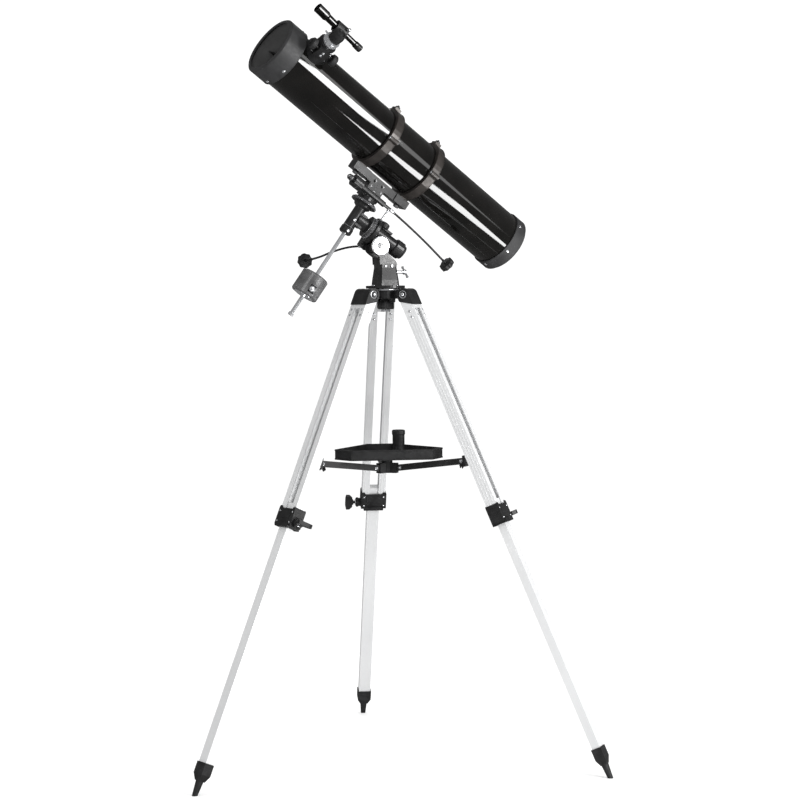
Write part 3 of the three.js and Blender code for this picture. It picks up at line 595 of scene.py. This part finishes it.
def rail_rivets(leg, own):
    """Rivets where the yoke and the clamp hold the rails."""
    rivets = Form()
    for side, s in both((50, 66)):
        for y in (-23, 23):
            rivets.turn(RIVET, (side * RAIL_FACE, y, -s), (side, 0, 0), 16)
        rivets.turn(RIVET, (0, side * LEG_HALF, -s), (0, side, 0), 16)
    for side, s in both((624, 652)):
        for y in (-28, 28):
            rivets.turn(SMALL_RIVET, (side * CLAMP_FACE, y, -s), (side, 0, 0), 16)
    rivets.piece(f"rail_rivets_{leg}", own, "base", "chrome", "chrome")


def pivot_bolt(leg, own):
    yoke_face = 31
    bolt = Form()
    for side in SIDES:
        place, out = (0, side * yoke_face, 0), (0, side, 0)
        bolt.tube([(8.2, 0), (10.8, 0), (10.8, 1.2), (8.2, 1.4)], place, out, 28)
        bolt.turn([(5, 1), (5, 5.6), (4, 6.6), (1.5, 7)], place, out, 20)
    bolt.piece(f"pivot_bolt_{leg}", own, "base", "chrome", "chrome")


def clamp_ribs(leg, own):
    """Ribs and face plates of the leg clamp, and the boss that its thumbscrew runs in."""
    side_face, boss_foot = 36, 43
    clamp = Form()
    for side in SIDES:
        for s in (622, 628, 634, 640, 646):
            clamp.bar((0, side * side_face, -s), (12, 0.7, 1))
        clamp.bar((side * CLAMP_FACE, 0, -631), (0.9, 21, 11))
    boss = [(13, 0), (14, 1), (14, 5), (12.6, 6.4)]
    clamp.turn(boss, (0, boss_foot, -PIVOT_TO_SCREW), Y, 28, 0.7, 14)
    clamp.piece(f"clamp_ribs_{leg}", own, "base", "plastic", "plastic")


def screw_washer(leg, own):
    washer = Form()
    washer.turn([(9.4, 0), (9.4, 1.2), (8.8, 1.6)], (0, 50.6, -PIVOT_TO_SCREW), Y, 24)
    washer.piece(f"screw_washer_{leg}", own, f"leg_screw_{leg}", "chrome", "chrome")


def lower_beads(leg, own):
    """Raised lines on the sliding leg, low enough to pass through the clamp."""
    middle, half = -(LOWER_TOP + LOWER_FOOT) / 2, (LOWER_FOOT - LOWER_TOP) / 2
    beads = Form()
    for side, y in both((-9, 9)):
        beads.bar((side * LOWER_FACE, y, middle), (0.2, 0.6, half))
    beads.piece(f"lower_beads_{leg}", own, f"lower_leg_{leg}", f"aluminium_{leg}", "aluminium")


def foot_ribs(leg, own):
    ribs = Form()
    for i in range(4):
        ribs.bar((0, 0, -FOOT_TOP - 6 * i), (14.3, 20, 1.1))
    ribs.piece(f"foot_ribs_{leg}", own, f"lower_leg_{leg}", "rubber", "rubber", 0.6)


for leg in LEGS:
    for detail in (
        rail_beads, rail_rivets, pivot_bolt, clamp_ribs, screw_washer, lower_beads, foot_ribs,
    ):
        detail(leg, leg_frame(leg))

# ---------------------------------------------------------------- spreader and tray details
LEG_TURNS = {leg: 14.2 + 120 * i for i, leg in enumerate(LEGS)}
ARM_BOLTS = ((40, 800), (216, 821))  # distance from the tripod's axis and height
WING_OUT, WING_HEIGHT = 216, 813


def arm_screws(leg, own):
    bolts = Form()
    for out, height in ARM_BOLTS:
        for side in (1, -1):
            bolts.screw((out, side * 6.5, height), (0, side, 0), 3.2)
    for y in (-12, 12):
        bolts.screw((222.5, y, 824), (-1, 0, 0), 2.6)
    bolts.piece(f"arm_screws_{leg}", own, "base", "chrome", "chrome")


def arm_wing_nut(leg, own):
    wing = Form()
    wing.turn([(5.5, -7), (6.5, -5), (6.5, 0)], (WING_OUT, 0, WING_HEIGHT), Z, 20)
    for side in SIDES:
        tilt = placed((WING_OUT, 0, WING_HEIGHT - 6), "X", side * 24)
        wing.block((-1.6, side * 4 - 3, -8), (1.6, side * 12 + 2, 1), tilt)
    wing.piece(f"arm_wing_nut_{leg}", own, "base", "plastic", "plastic", 0.8)


for leg, degrees in LEG_TURNS.items():
    own = TRIPOD @ placed((0, 0, 0), "Z", degrees)
    arm_screws(leg, own)
    arm_wing_nut(leg, own)

TRAY_CORNER, TRAY_HALF_EDGE = 147, 37
TRAY_BOTTOM, TRAY_FLOOR, TRAY_TOP = 826, 829, 854
RIB_LOW, RIB_HIGH = TRAY_FLOOR - 0.5, TRAY_FLOOR + 1.6


def tray_corners(inset):
    """The tray's six corners, drawn in by that much all round."""
    half = TRAY_HALF_EDGE - inset * math.tan(math.radians(30))
    corners = []
    for degrees in LEG_TURNS.values():
        turn = Matrix.Rotation(math.radians(degrees), 3, "Z")
        corners += [turn @ Vector((TRAY_CORNER - inset, side * half, 0)) for side in SIDES]
    return corners


def tray_rim():
    """A lip round the tray's top and another round its bottom."""
    lip = Form()
    outer, inner = tray_corners(-1.2), tray_corners(0.4)
    for z in (TRAY_TOP - 4, TRAY_BOTTOM + 0.5):
        rings = [
            lip.ring([corner + Vector((0, 0, z + up)) for corner in corners])
            for corners, up in ((outer, 0), (outer, 3), (inner, 3.6), (inner, -0.4))
        ]
        lip.strips([*rings, rings[0]])
    lip.piece("tray_rim", TRIPOD, "tray", "plastic", "plastic", 0.4)


def tray_floor_ribs():
    """Ribs from a ring in the middle of the floor to the middle of each edge."""
    hole, ring = 23, 26
    ribs = Form()
    corners = tray_corners(4)
    for corner, after in zip(corners, [*corners[1:], corners[0]]):
        middle = (corner + after) / 2
        turn = Matrix.Rotation(math.atan2(middle.y, middle.x), 4, "Z")
        ribs.block((hole + 1, -1, RIB_LOW), (middle.length - 1, 1, RIB_HIGH), turn)
    ribs.tube(wall(hole, ring, RIB_LOW, RIB_HIGH))
    ribs.piece("tray_floor_ribs", TRIPOD, "tray", "plastic", "plastic", 0.4)


tray_rim()
tray_floor_ribs()


# ---------------------------------------------------------------- hub and mount details
def pier_screws():
    base_top, ear_face, ear_height = 1291.4, 26.4, 1344
    screws = Form()
    for degrees in (20, 110, 200, 290):
        screws.screw((*circle(45, degrees), base_top), Z, 3.4)
    screws.screw((-9, ear_face, ear_height), Y, 3.4)
    screws.screw((9, ear_face, ear_height), Y, 2.6)
    screws.piece("pier_screws", TRIPOD, "azimuth", "chrome", "chrome")


def hub_details():
    band = Form()
    band.tube(wall(39, 40.8, 1278.4, 1283.6))
    band.piece("hub_band", TRIPOD, "base", "chrome", "chrome", 0)
    nut = Form()
    nut.turn([(12, 1221), (13, 1222), (13, 1228), (11, 1228.4)], sides=6)
    nut.piece("azimuth_nut", TRIPOD, "azimuth_knob", "chrome", "chrome", 0.5)
    grip = Form()
    grip.turn([(22.6, 1231), (23, 1232), (23, 1245), (22.6, 1246)], sides=96, wave=1.6, lobes=24)
    grip.piece("azimuth_knob_grip", TRIPOD, "azimuth_knob", "plastic", "plastic", 0)


DIAL_AT = (25.4, 31.35, 1398)
DIAL_TICKS = 60


def dial_details():
    """Tick marks, rim and centre screw of the latitude dial."""
    ticks = Form()
    for i in range(DIAL_TICKS):
        inner = 18.2 if i % 5 == 0 else 20.6
        ticks.block((inner, -0.1, -0.28), (23.2, 0.12, 0.28), placed(DIAL_AT, "Y", 360 * i / DIAL_TICKS))
    ticks.piece("dial_ticks", TRIPOD, "azimuth", "mark", "dial", 0)
    rim = Form()
    rim.turn([(24.7, -1), (25, -0.4), (25, 0.4), (23.6, 0.5)], DIAL_AT, Y, 56)
    rim.turn([(9, -0.2), (9, 1.2), (8.2, 1.8)], DIAL_AT, Y, 32)
    rim.turn([(4.2, 1.5), (4.2, 6), (3.4, 6.8)], DIAL_AT, Y, 20)
    rim.piece("dial_rim", TRIPOD, "azimuth", "chrome", "chrome", 0)


RA_OFFSET = 28  # from the latitude pivot to the polar axis
RA_TICKS = 72


def polar_housing_details():
    """Screws of the worm box and the end plate, the end cap and the clutch lever."""
    worm = Form()
    worm.turn([(5.4, -0.5), (5.4, 1.6), (4.4, 2.4), (1.2, 2.2)], (16.6, -43.6, -10.9), (0, -1, 0), 24)
    worm.screw((27, -42, -4), (0, -1, 0), 2.8)
    worm.screw((27, -42, 5), (0, -1, 0), 2.8)
    worm.screw((-54, 0, 51.9), Z, 3)
    for degrees in (60, 180, 300):
        y, z = circle(14, degrees)
        worm.screw((-67.8, y, RA_OFFSET + z), (-1, 0, 0), 2.4)
    worm.piece("worm_screws", POLAR, "polar", "chrome", "chrome")
    cap = Form()
    cap.turn([(18.4, 0), (19.4, 1), (19.4, 4.6), (18.4, 5.6)], (-73.4, 0, RA_OFFSET), X, 40, 0.5, 40)
    cap.piece("polar_cap", POLAR, "polar", "plastic", "graphite", 0)
    lever = Form()
    lever.turn([(2.2, 0), (2.2, 26), (3.4, 28), (3.4, 33), (2, 35)], (32, 12, 64), (0, 0.22, 1), 16)
    lever.piece("polar_lock_lever", POLAR, "polar", "chrome", "chrome")


def ra_circle_details():
    ticks = Form()
    for i in range(RA_TICKS):
        end = 47 if i % 3 == 0 else 44
        turn = placed((0, 0, RA_OFFSET), "X", 360 * i / RA_TICKS)
        ticks.block((40.5, -0.25, 30.9), (end, 0.25, 31.2), turn)
    ticks.piece("ra_circle_ticks", POLAR, "ra_circle", "mark", "satin", 0)
    edge = Form()
    for x in (39.4, 52.3):
        edge.band(31, x, (0, 0, RA_OFFSET), X, 0.6, 0.4)
    edge.piece("ra_circle_edges", POLAR, "ra_circle", "chrome", "satin", 0)
    grip = Form()
    grip.turn([(13.7, 53), (14, 54), (14, 63), (13.7, 64)], (11.5, 0, 0), Z, 72, 0.9, 18)
    grip.piece("clutch_grip", POLAR, "ra_clutch", "plastic", "plastic", 0)


pier_screws()
hub_details()
dial_details()
polar_housing_details()
ra_circle_details()

# ---------------------------------------------------------------- declination details
DEC_TICKS = 90
WEIGHT_TOP, WEIGHT_BOTTOM = -190, -253
WORM_FACE = 15
WORM_LINE = (22, 72)  # where the declination worm lies, across the saddle and up


def dec_circle_details():
    ticks = Form()
    for i in range(DEC_TICKS):
        low = 43.6 if i % 5 == 0 else 44.9
        ticks.block((37.4, -0.25, low), (37.7, 0.25, 46.6), placed((0, 0, 0), "Z", 360 * i / DEC_TICKS))
    ticks.piece("dec_circle_ticks", HEAD, "dec_circle", "mark", "satin", 0)
    edge = Form()
    for z in (42.7, 47.0):
        edge.band(37.5, z, half=0.5, proud=0.4)
    edge.piece("dec_circle_edges", HEAD, "dec_circle", "chrome", "satin", 0)
    bands = Form()
    for z in (-34.5, -31.5, 30.5):
        bands.band(16, z, half=0.8)
    bands.screw((0, 16, -10), Y, 3)
    bands.screw((0, 17.6, -44), Y, 3)
    bands.piece("dec_housing_trim", HEAD, "head", "chrome", "graphite")


def counterweight_details():
    weight = Form()
    for z, tall in ((WEIGHT_TOP, 1.2), (WEIGHT_BOTTOM, -1.2)):
        weight.turn([(30, z), (30, z + tall), (12, z + tall)], sides=48)
    for z in (WEIGHT_TOP - 6, WEIGHT_BOTTOM + 6):
        weight.band(38, z, half=0.6)
    weight.piece("counterweight_trim", HEAD, "counterweight", "chrome", "graphite", 0.3)
    knurl = Form()
    knurl.turn([(8.2, 30), (8.6, 31), (8.6, 40), (7.8, 41.4)], (0, 0, -232), Y, 80, 0.8, 20)
    knurl.piece("counterweight_screw_grip", HEAD, "counterweight_screw", "chrome", "chrome", 0)


def dec_worm_details():
    worm = Form()
    for x, z, radius in ((18, 92, 3), (-18, 92, 3), (0, 82, 3.4)):
        worm.screw((x, WORM_FACE, z), Y, radius)
    for y in (-8, 8):
        worm.screw((25, y, 86), X, 3)
    worm.turn([(8.6, 0), (9, 0.6), (9, 2.4), (8.4, 3)], (82, *WORM_LINE), X, 32)
    worm.turn([(17.3, 0), (17.6, 0.6), (17.3, 1.2)], (60, *WORM_LINE), X, 48)
    worm.turn([(5, 0), (5, 3), (3.6, 4)], (91, *WORM_LINE), X, 20)
    worm.piece("dec_worm_trim", SADDLE, "saddle", "steel", "graphite")


def bar_bolts():
    bar = Form()
    for station in RINGS.values():
        bar.turn([(8, -1), (8.6, 0), (8.6, 3), (7.4, 4)], (station, 0, 93.4), Z, 6)
    for x in (-14, 14):
        bar.screw((x, 17, 110), Y, 2.8)
    bar.piece("bar_bolts", SADDLE, "saddle", "steel", "graphite")


dec_circle_details()
counterweight_details()
dec_worm_details()
bar_bolts()

# ---------------------------------------------------------------- ring details
RING_SPLIT = 2  # degrees that the plane of the rings' split is turned about the tube
RING_FACE = 87  # radius of the lips along the rings' edges
LIP_STEPS = 28
HINGE_RADIUS = 91
TOP_BOSS = 94.6
HINGE_PIN = [(3, -15.6), (4.4, -15), (4.4, -13.2), (3, -13), (3, 13), (4.4, 13.2), (4.4, 15), (3, 15.6)]


def ring_lip(label, half, own, body, side):
    """Raised edges of half a ring, laid as a row of short blocks."""
    lip = Form()
    for x in (-12.2, 12.2):
        for i in range(LIP_STEPS):
            turn = Matrix.Rotation(side * math.radians(9 + 6 * i), 4, "X")
            lip.bar((x, RING_FACE, 0), (0.6, 0.8, 4.7), turn)
    lip.piece(f"ring_lip_{half}_{label}", own, body, "bronze", "bronze", 0.3)


def ring_details(label, station):
    own = TUBE @ placed((station, 0, 0), "X", -RING_SPLIT)
    pin = Form()
    pin.turn(HINGE_PIN, (0, HINGE_RADIUS, 0), X, 20)
    pin.piece(f"ring_hinge_pin_{label}", own, "saddle", "chrome", "chrome", 0)
    boss = Form()
    boss.turn([(6.6, 0), (7.2, 0.6), (7.2, 5.4), (6, 6.4)], (0, 0, TOP_BOSS), Z, 28, 0.5, 14)
    boss.turn([(3, 6), (3, 9), (2, 10)], (0, 0, TOP_BOSS), Z, 16)
    upper = f"ring_upper_{label}"
    upright = TUBE @ Matrix.Translation((station, 0, 0))
    boss.piece(f"ring_top_screw_{label}", upright, upper, "graphite", "bronze", 0.3)
    ring_lip(label, "lower", own, "saddle", -1)
    ring_lip(label, "upper", own, upper, 1)


for label, station in RINGS.items():
    ring_details(label, station)

# ---------------------------------------------------------------- tube details
TUBE_INNER, TUBE_OUTER = 76.8, 78
TUBE_REAR, TUBE_FRONT = -437, 469
FRONT_RING_RADIUS, REAR_CELL_RADIUS = 82.8, 81.8
CELL_BACK = -440


def screws_round(form, station, radius, turns, size):
    for degrees in turns:
        out = Vector((0, *circle(1, degrees)))
        form.screw(Vector((station, 0, 0)) + out * radius, out, size)


def tube_skins():
    """The gloss tube itself and the plain outer walls of its two end rings, rounder than the solids."""
    skin = Form()
    skin.tube(wall(TUBE_INNER, TUBE_OUTER, TUBE_REAR, TUBE_FRONT), axis=X, sides=192)
    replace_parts(skin.piece("gloss_tube", TUBE, "tube", "gloss", "gloss", 0.2), "optical_tube")
    walls = Form()
    walls.tube(wall(FRONT_RING_RADIUS - 0.5, FRONT_RING_RADIUS, 421, 469.8), axis=X, sides=192)
    walls.tube(wall(REAR_CELL_RADIUS - 0.5, REAR_CELL_RADIUS, -434.8, -400.2), axis=X, sides=192)
    walls.piece("end_ring_walls", TUBE, "tube", "grey", "satin", 0.15)


def tube_screws():
    """Screws round both end rings and the mirror's adjusting and locking screws."""
    screws = Form()
    screws_round(screws, 428, 82.5, (-35, -80, -125, 70, 115, 160), 2.9)
    screws_round(screws, -412, 81.5, (-20, 40, 100, 160, 220, 280), 2.9)
    for degrees in (0, 120, 240):
        screws.screw((CELL_BACK, *circle(60, degrees)), (-1, 0, 0), 4.2)
        screws.screw((CELL_BACK, *circle(60, degrees + 16)), (-1, 0, 0), 3)
    screws.piece("tube_screws", TUBE, "tube", "chrome", "chrome")


def tube_trim():
    trim = Form()
    for x, radius in ((417.6, 82.6), (470.4, 81.0), (-400.8, 81.6), (-434.6, 81.6)):
        trim.band(radius, x, axis=X, sides=96)
    trim.piece("tube_trim", TUBE, "tube", "grey", "satin", 0)
    lining = Form()
    lining.tube(wall(75.9, 76.6, -404, 465), axis=X, sides=72)
    lining.piece("tube_lining", TUBE, "tube", "flat", "plastic", 0)


def secondary_glass():
    """The oval face of the secondary mirror, turned to the focuser."""
    glass = Form()
    slant = placed((FOCUSER_STATION + 0.4, 0, 0), "X", -FOCUSER_TURN) @ placed((0, 0, 0), "Y", -45)
    angles = [2 * math.pi * i / 48 for i in range(48)]
    outline = [(23.6 * math.sin(angle), 16.8 * math.cos(angle)) for angle in angles]
    rings = [glass.ring([slant @ Vector((x, y, z)) for x, y in outline]) for z in (-1.6, -0.2)]
    glass.strips(rings)
    glass.ends(rings)
    glass.piece("secondary_glass", TUBE, "tube", "mirror", "mirror", 0)


tube_skins()
tube_screws()
tube_trim()
secondary_glass()

# ---------------------------------------------------------------- focuser and finder details
FOCUS_SHAFT = (24, 108)  # where the focus shaft lies, across the focuser and up
DRAWTUBE_SCREWS = 137


def focuser_body_details():
    base = Form()
    for degrees in (45, 135, 225, 315):
        base.screw((*circle(30.5, degrees), 87.6), Z, 2.6)
    base.screw((0, 33, 100), Y, 2.6)
    base.screw((0, 33, 110), Y, 2.6)
    base.piece("focuser_screws", FOCUSER, "tube", "chrome", "chrome")
    body = Form()
    for z in (90, 96, 118, 122.6):
        body.band(26, z, half=0.9, proud=0.8)
    body.piece("focuser_rims", FOCUSER, "tube", "plastic", "plastic", 0)


def focus_knob_grips():
    grips = Form()
    for side in SIDES:
        place, out = (side * 28, *FOCUS_SHAFT), (side, 0, 0)
        grips.turn([(15.2, 1.5), (15.6, 2.5), (15.6, 12), (15.2, 13)], place, out, 96, 1.3, 24)
        grips.turn([(5, 15.6), (5, 17.4), (4, 18.2)], place, out, 20)
    grips.piece("focus_knob_grips", FOCUSER, "focus_knobs", "rubber", "plastic", 0)


def eyepiece_details():
    """Rims and lock screws of the drawtube, and the eyepiece's ribbed grip and eye lens."""
    draw = Form()
    draw.band(22, 131, half=1.0)
    draw.band(22, 139.5, half=0.8)
    draw.screw((0, 22, DRAWTUBE_SCREWS), Y, 2.4, 8)
    draw.screw((19, -11, DRAWTUBE_SCREWS), (0.866, -0.5, 0), 2.4, 8)
    draw.piece("drawtube_trim", FOCUSER, "drawtube", "chrome", "chrome", 0)
    eye = Form()
    for z in (148, 151, 154, 157, 160):
        eye.band(17.2, z, half=0.9, proud=0.8)
    eye.turn([(9, 170), (8.6, 170.6), (2, 171.2)], sides=32)
    eye.piece("eyepiece_grip", FOCUSER, "eyepiece", "rubber", "plastic", 0)


def finder_details():
    rims = Form()
    for x, radius in ((-81.6, 9.5), (-63, 9.5), (52, 13), (81.2, 13)):
        rims.band(radius, x, axis=X, sides=40)
    rims.turn([(9.6, -80), (10, -79), (10, -66), (9.6, -65)], axis=X, sides=72, wave=0.7, lobes=18)
    rims.piece("finder_rims", SCOPE, "tube", "plastic", "gloss", 0)
    lens = Form()
    lens.turn([(10.9, 76.6), (9, 77.6), (6, 78.4), (3, 78.9), (0.2, 79)], axis=X, sides=40)
    lens.turn([(6.4, -83.6), (3, -83.9), (0.2, -84)], axis=X, sides=32)
    lens.piece("finder_lenses", SCOPE, "tube", "lens", "gloss", 0)


def finder_screws():
    aim = Form()
    for degrees in (60, 180, 300):
        out = Matrix.Rotation(math.radians(degrees), 3, "X") @ Vector(Z)
        aim.turn([(4.4, 20), (4.8, 21), (4.8, 27), (4.2, 28)], (-16, 0, FINDER_HEIGHT), out, 48, 0.6, 12)
    aim.piece("finder_aim_screws", FINDER, "tube", "chrome", "chrome", 0)
    shoe = Form()
    for x in (-20, 16):
        shoe.screw((x, 9, 82), Y, 3)
    shoe.piece("finder_shoe_screws", FINDER, "tube", "chrome", "chrome")


focuser_body_details()
focus_knob_grips()
eyepiece_details()
finder_details()
finder_screws()


# ---------------------------------------------------------------- cable knob details
def cable_knob_details(name, points, own):
    """The cap on a cable's knob and the two rims round its lobes."""
    end = Vector(points[-1])
    along = end - Vector(points[-2])
    cap = Form()
    cap.turn([(10, 26.8), (10, 28), (8.4, 28.8), (3, 29)], end, along, 32)
    cap.turn([(3, 29), (3, 30.4), (2, 30.8)], end, along, 20)
    cap.piece(f"{name}_cap", own, name, "chrome", "chrome", 0)
    rim = Form()
    rim.turn([(19, 11.4), (20.4, 12.4), (20.4, 13.6), (19, 14.4)], end, along, 64, 1.8, 8)
    rim.turn([(19, 21.4), (20.4, 22.2), (20.4, 23.4), (17, 24.4)], end, along, 64, 1.8, 8)
    rim.piece(f"{name}_rim", own, name, "plastic", "plastic", 0)


cable_knob_details("ra_knob", RA_CABLE, POLAR)
cable_knob_details("dec_knob", DEC_CABLE, SADDLE)

# ---------------------------------------------------------------- floor and light
FLOOR_RADIUS = 60
ROOM_LIGHT, REFLECTED_ROOM = 1.12, 0.14
STREAK_DISTANCE = 2.4
STREAKS = (  # name, station along the tube, degrees round it, size, roll
    ("front streak", 270, 17, (0.95, 0.42), 45),
    ("rear streak", -130, -4, (1.15, 0.42), 35),
)
STREAK_POWER = 30


def floor():
    mesh = bmesh.new()
    bmesh.ops.create_circle(mesh, cap_ends=True, radius=FLOOR_RADIUS, segments=64)
    data = bpy.data.meshes.new("floor")
    mesh.to_mesh(data)
    mesh.free()
    obj = bpy.data.objects.new("floor", data)
    bpy.context.scene.collection.objects.link(obj)
    paint = Paint("floor", Roughness=0.9, Specular_IOR_Level=0.0)
    paint.colour(paint.noise(3, 4), (0.3, (0.93, 0.93, 0.93)), (0.7, (0.96, 0.96, 0.96)))
    data.materials.append(paint.material)
    obj.visible_glossy = False


def area_light(name, place, target, size, power, roll=0.0):
    data = bpy.data.lights.new(name, "AREA")
    data.shape = "RECTANGLE"
    data.size, data.size_y = size
    data.energy = power
    light = bpy.data.objects.new(name, data)
    bpy.context.scene.collection.objects.link(light)
    light.location = place
    aim = (Vector(target) - Vector(place)).to_track_quat("-Z", "Y").to_matrix()
    light.rotation_euler = (aim @ Matrix.Rotation(roll, 3, "Z")).to_euler()
    light.visible_camera = False


def reflected_place(station, lift):
    """Where a light shows to the camera as a reflection in the tube, and the point it shows at."""
    point = TUBE @ Vector((station, 0, 0))
    camera = bpy.context.scene.camera.matrix_world.translation
    view = (camera - point).normalized()
    along = TUBE_AXIS * view.dot(TUBE_AXIS)
    facing = (view - along).normalized()
    aside = facing.cross(TUBE_AXIS).normalized()
    if aside.z < 0:
        aside = -aside
    normal = facing * math.cos(lift) + aside * math.sin(lift)
    mirrored = 2 * normal.dot(view) * normal - view
    return point + mirrored * STREAK_DISTANCE, point


def world_light():
    """White for everything but glossy reflections, which see a greyer room."""
    world = bpy.data.worlds.new("studio")
    bpy.context.scene.world = world
    world.use_nodes = True
    tree = world.node_tree
    white = tree.nodes["Background"]
    grey = tree.nodes.new("ShaderNodeBackground")
    for background, strength in ((white, ROOM_LIGHT), (grey, REFLECTED_ROOM)):
        background.inputs["Color"].default_value = (1, 1, 1, 1)
        background.inputs["Strength"].default_value = strength
    rays = tree.nodes.new("ShaderNodeLightPath")
    mix = tree.nodes.new("ShaderNodeMixShader")
    tree.links.new(rays.outputs["Is Glossy Ray"], mix.inputs["Fac"])
    tree.links.new(white.outputs["Background"], mix.inputs[1])
    tree.links.new(grey.outputs["Background"], mix.inputs[2])
    tree.links.new(mix.outputs["Shader"], tree.nodes["World Output"].inputs["Surface"])


def studio():
    world_light()
    for name, station, lift, size, roll in STREAKS:
        place, target = reflected_place(station, math.radians(lift))
        area_light(name, place, target, size, STREAK_POWER, math.radians(roll))
    area_light("key", (-3.2, -3.6, 3.4), (0, 0, 1.0), (0.7, 1.8), 16)
    area_light("fill", (3.0, -3.4, 2.2), (0, 0, 0.9), (0.8, 2.4), 16)
    area_light("back", (1.5, 3.4, 3.4), (0, 0, 1.2), (2.0, 1.4), 14)
    bpy.context.scene.view_settings.view_transform = "Standard"


floor()
studio()
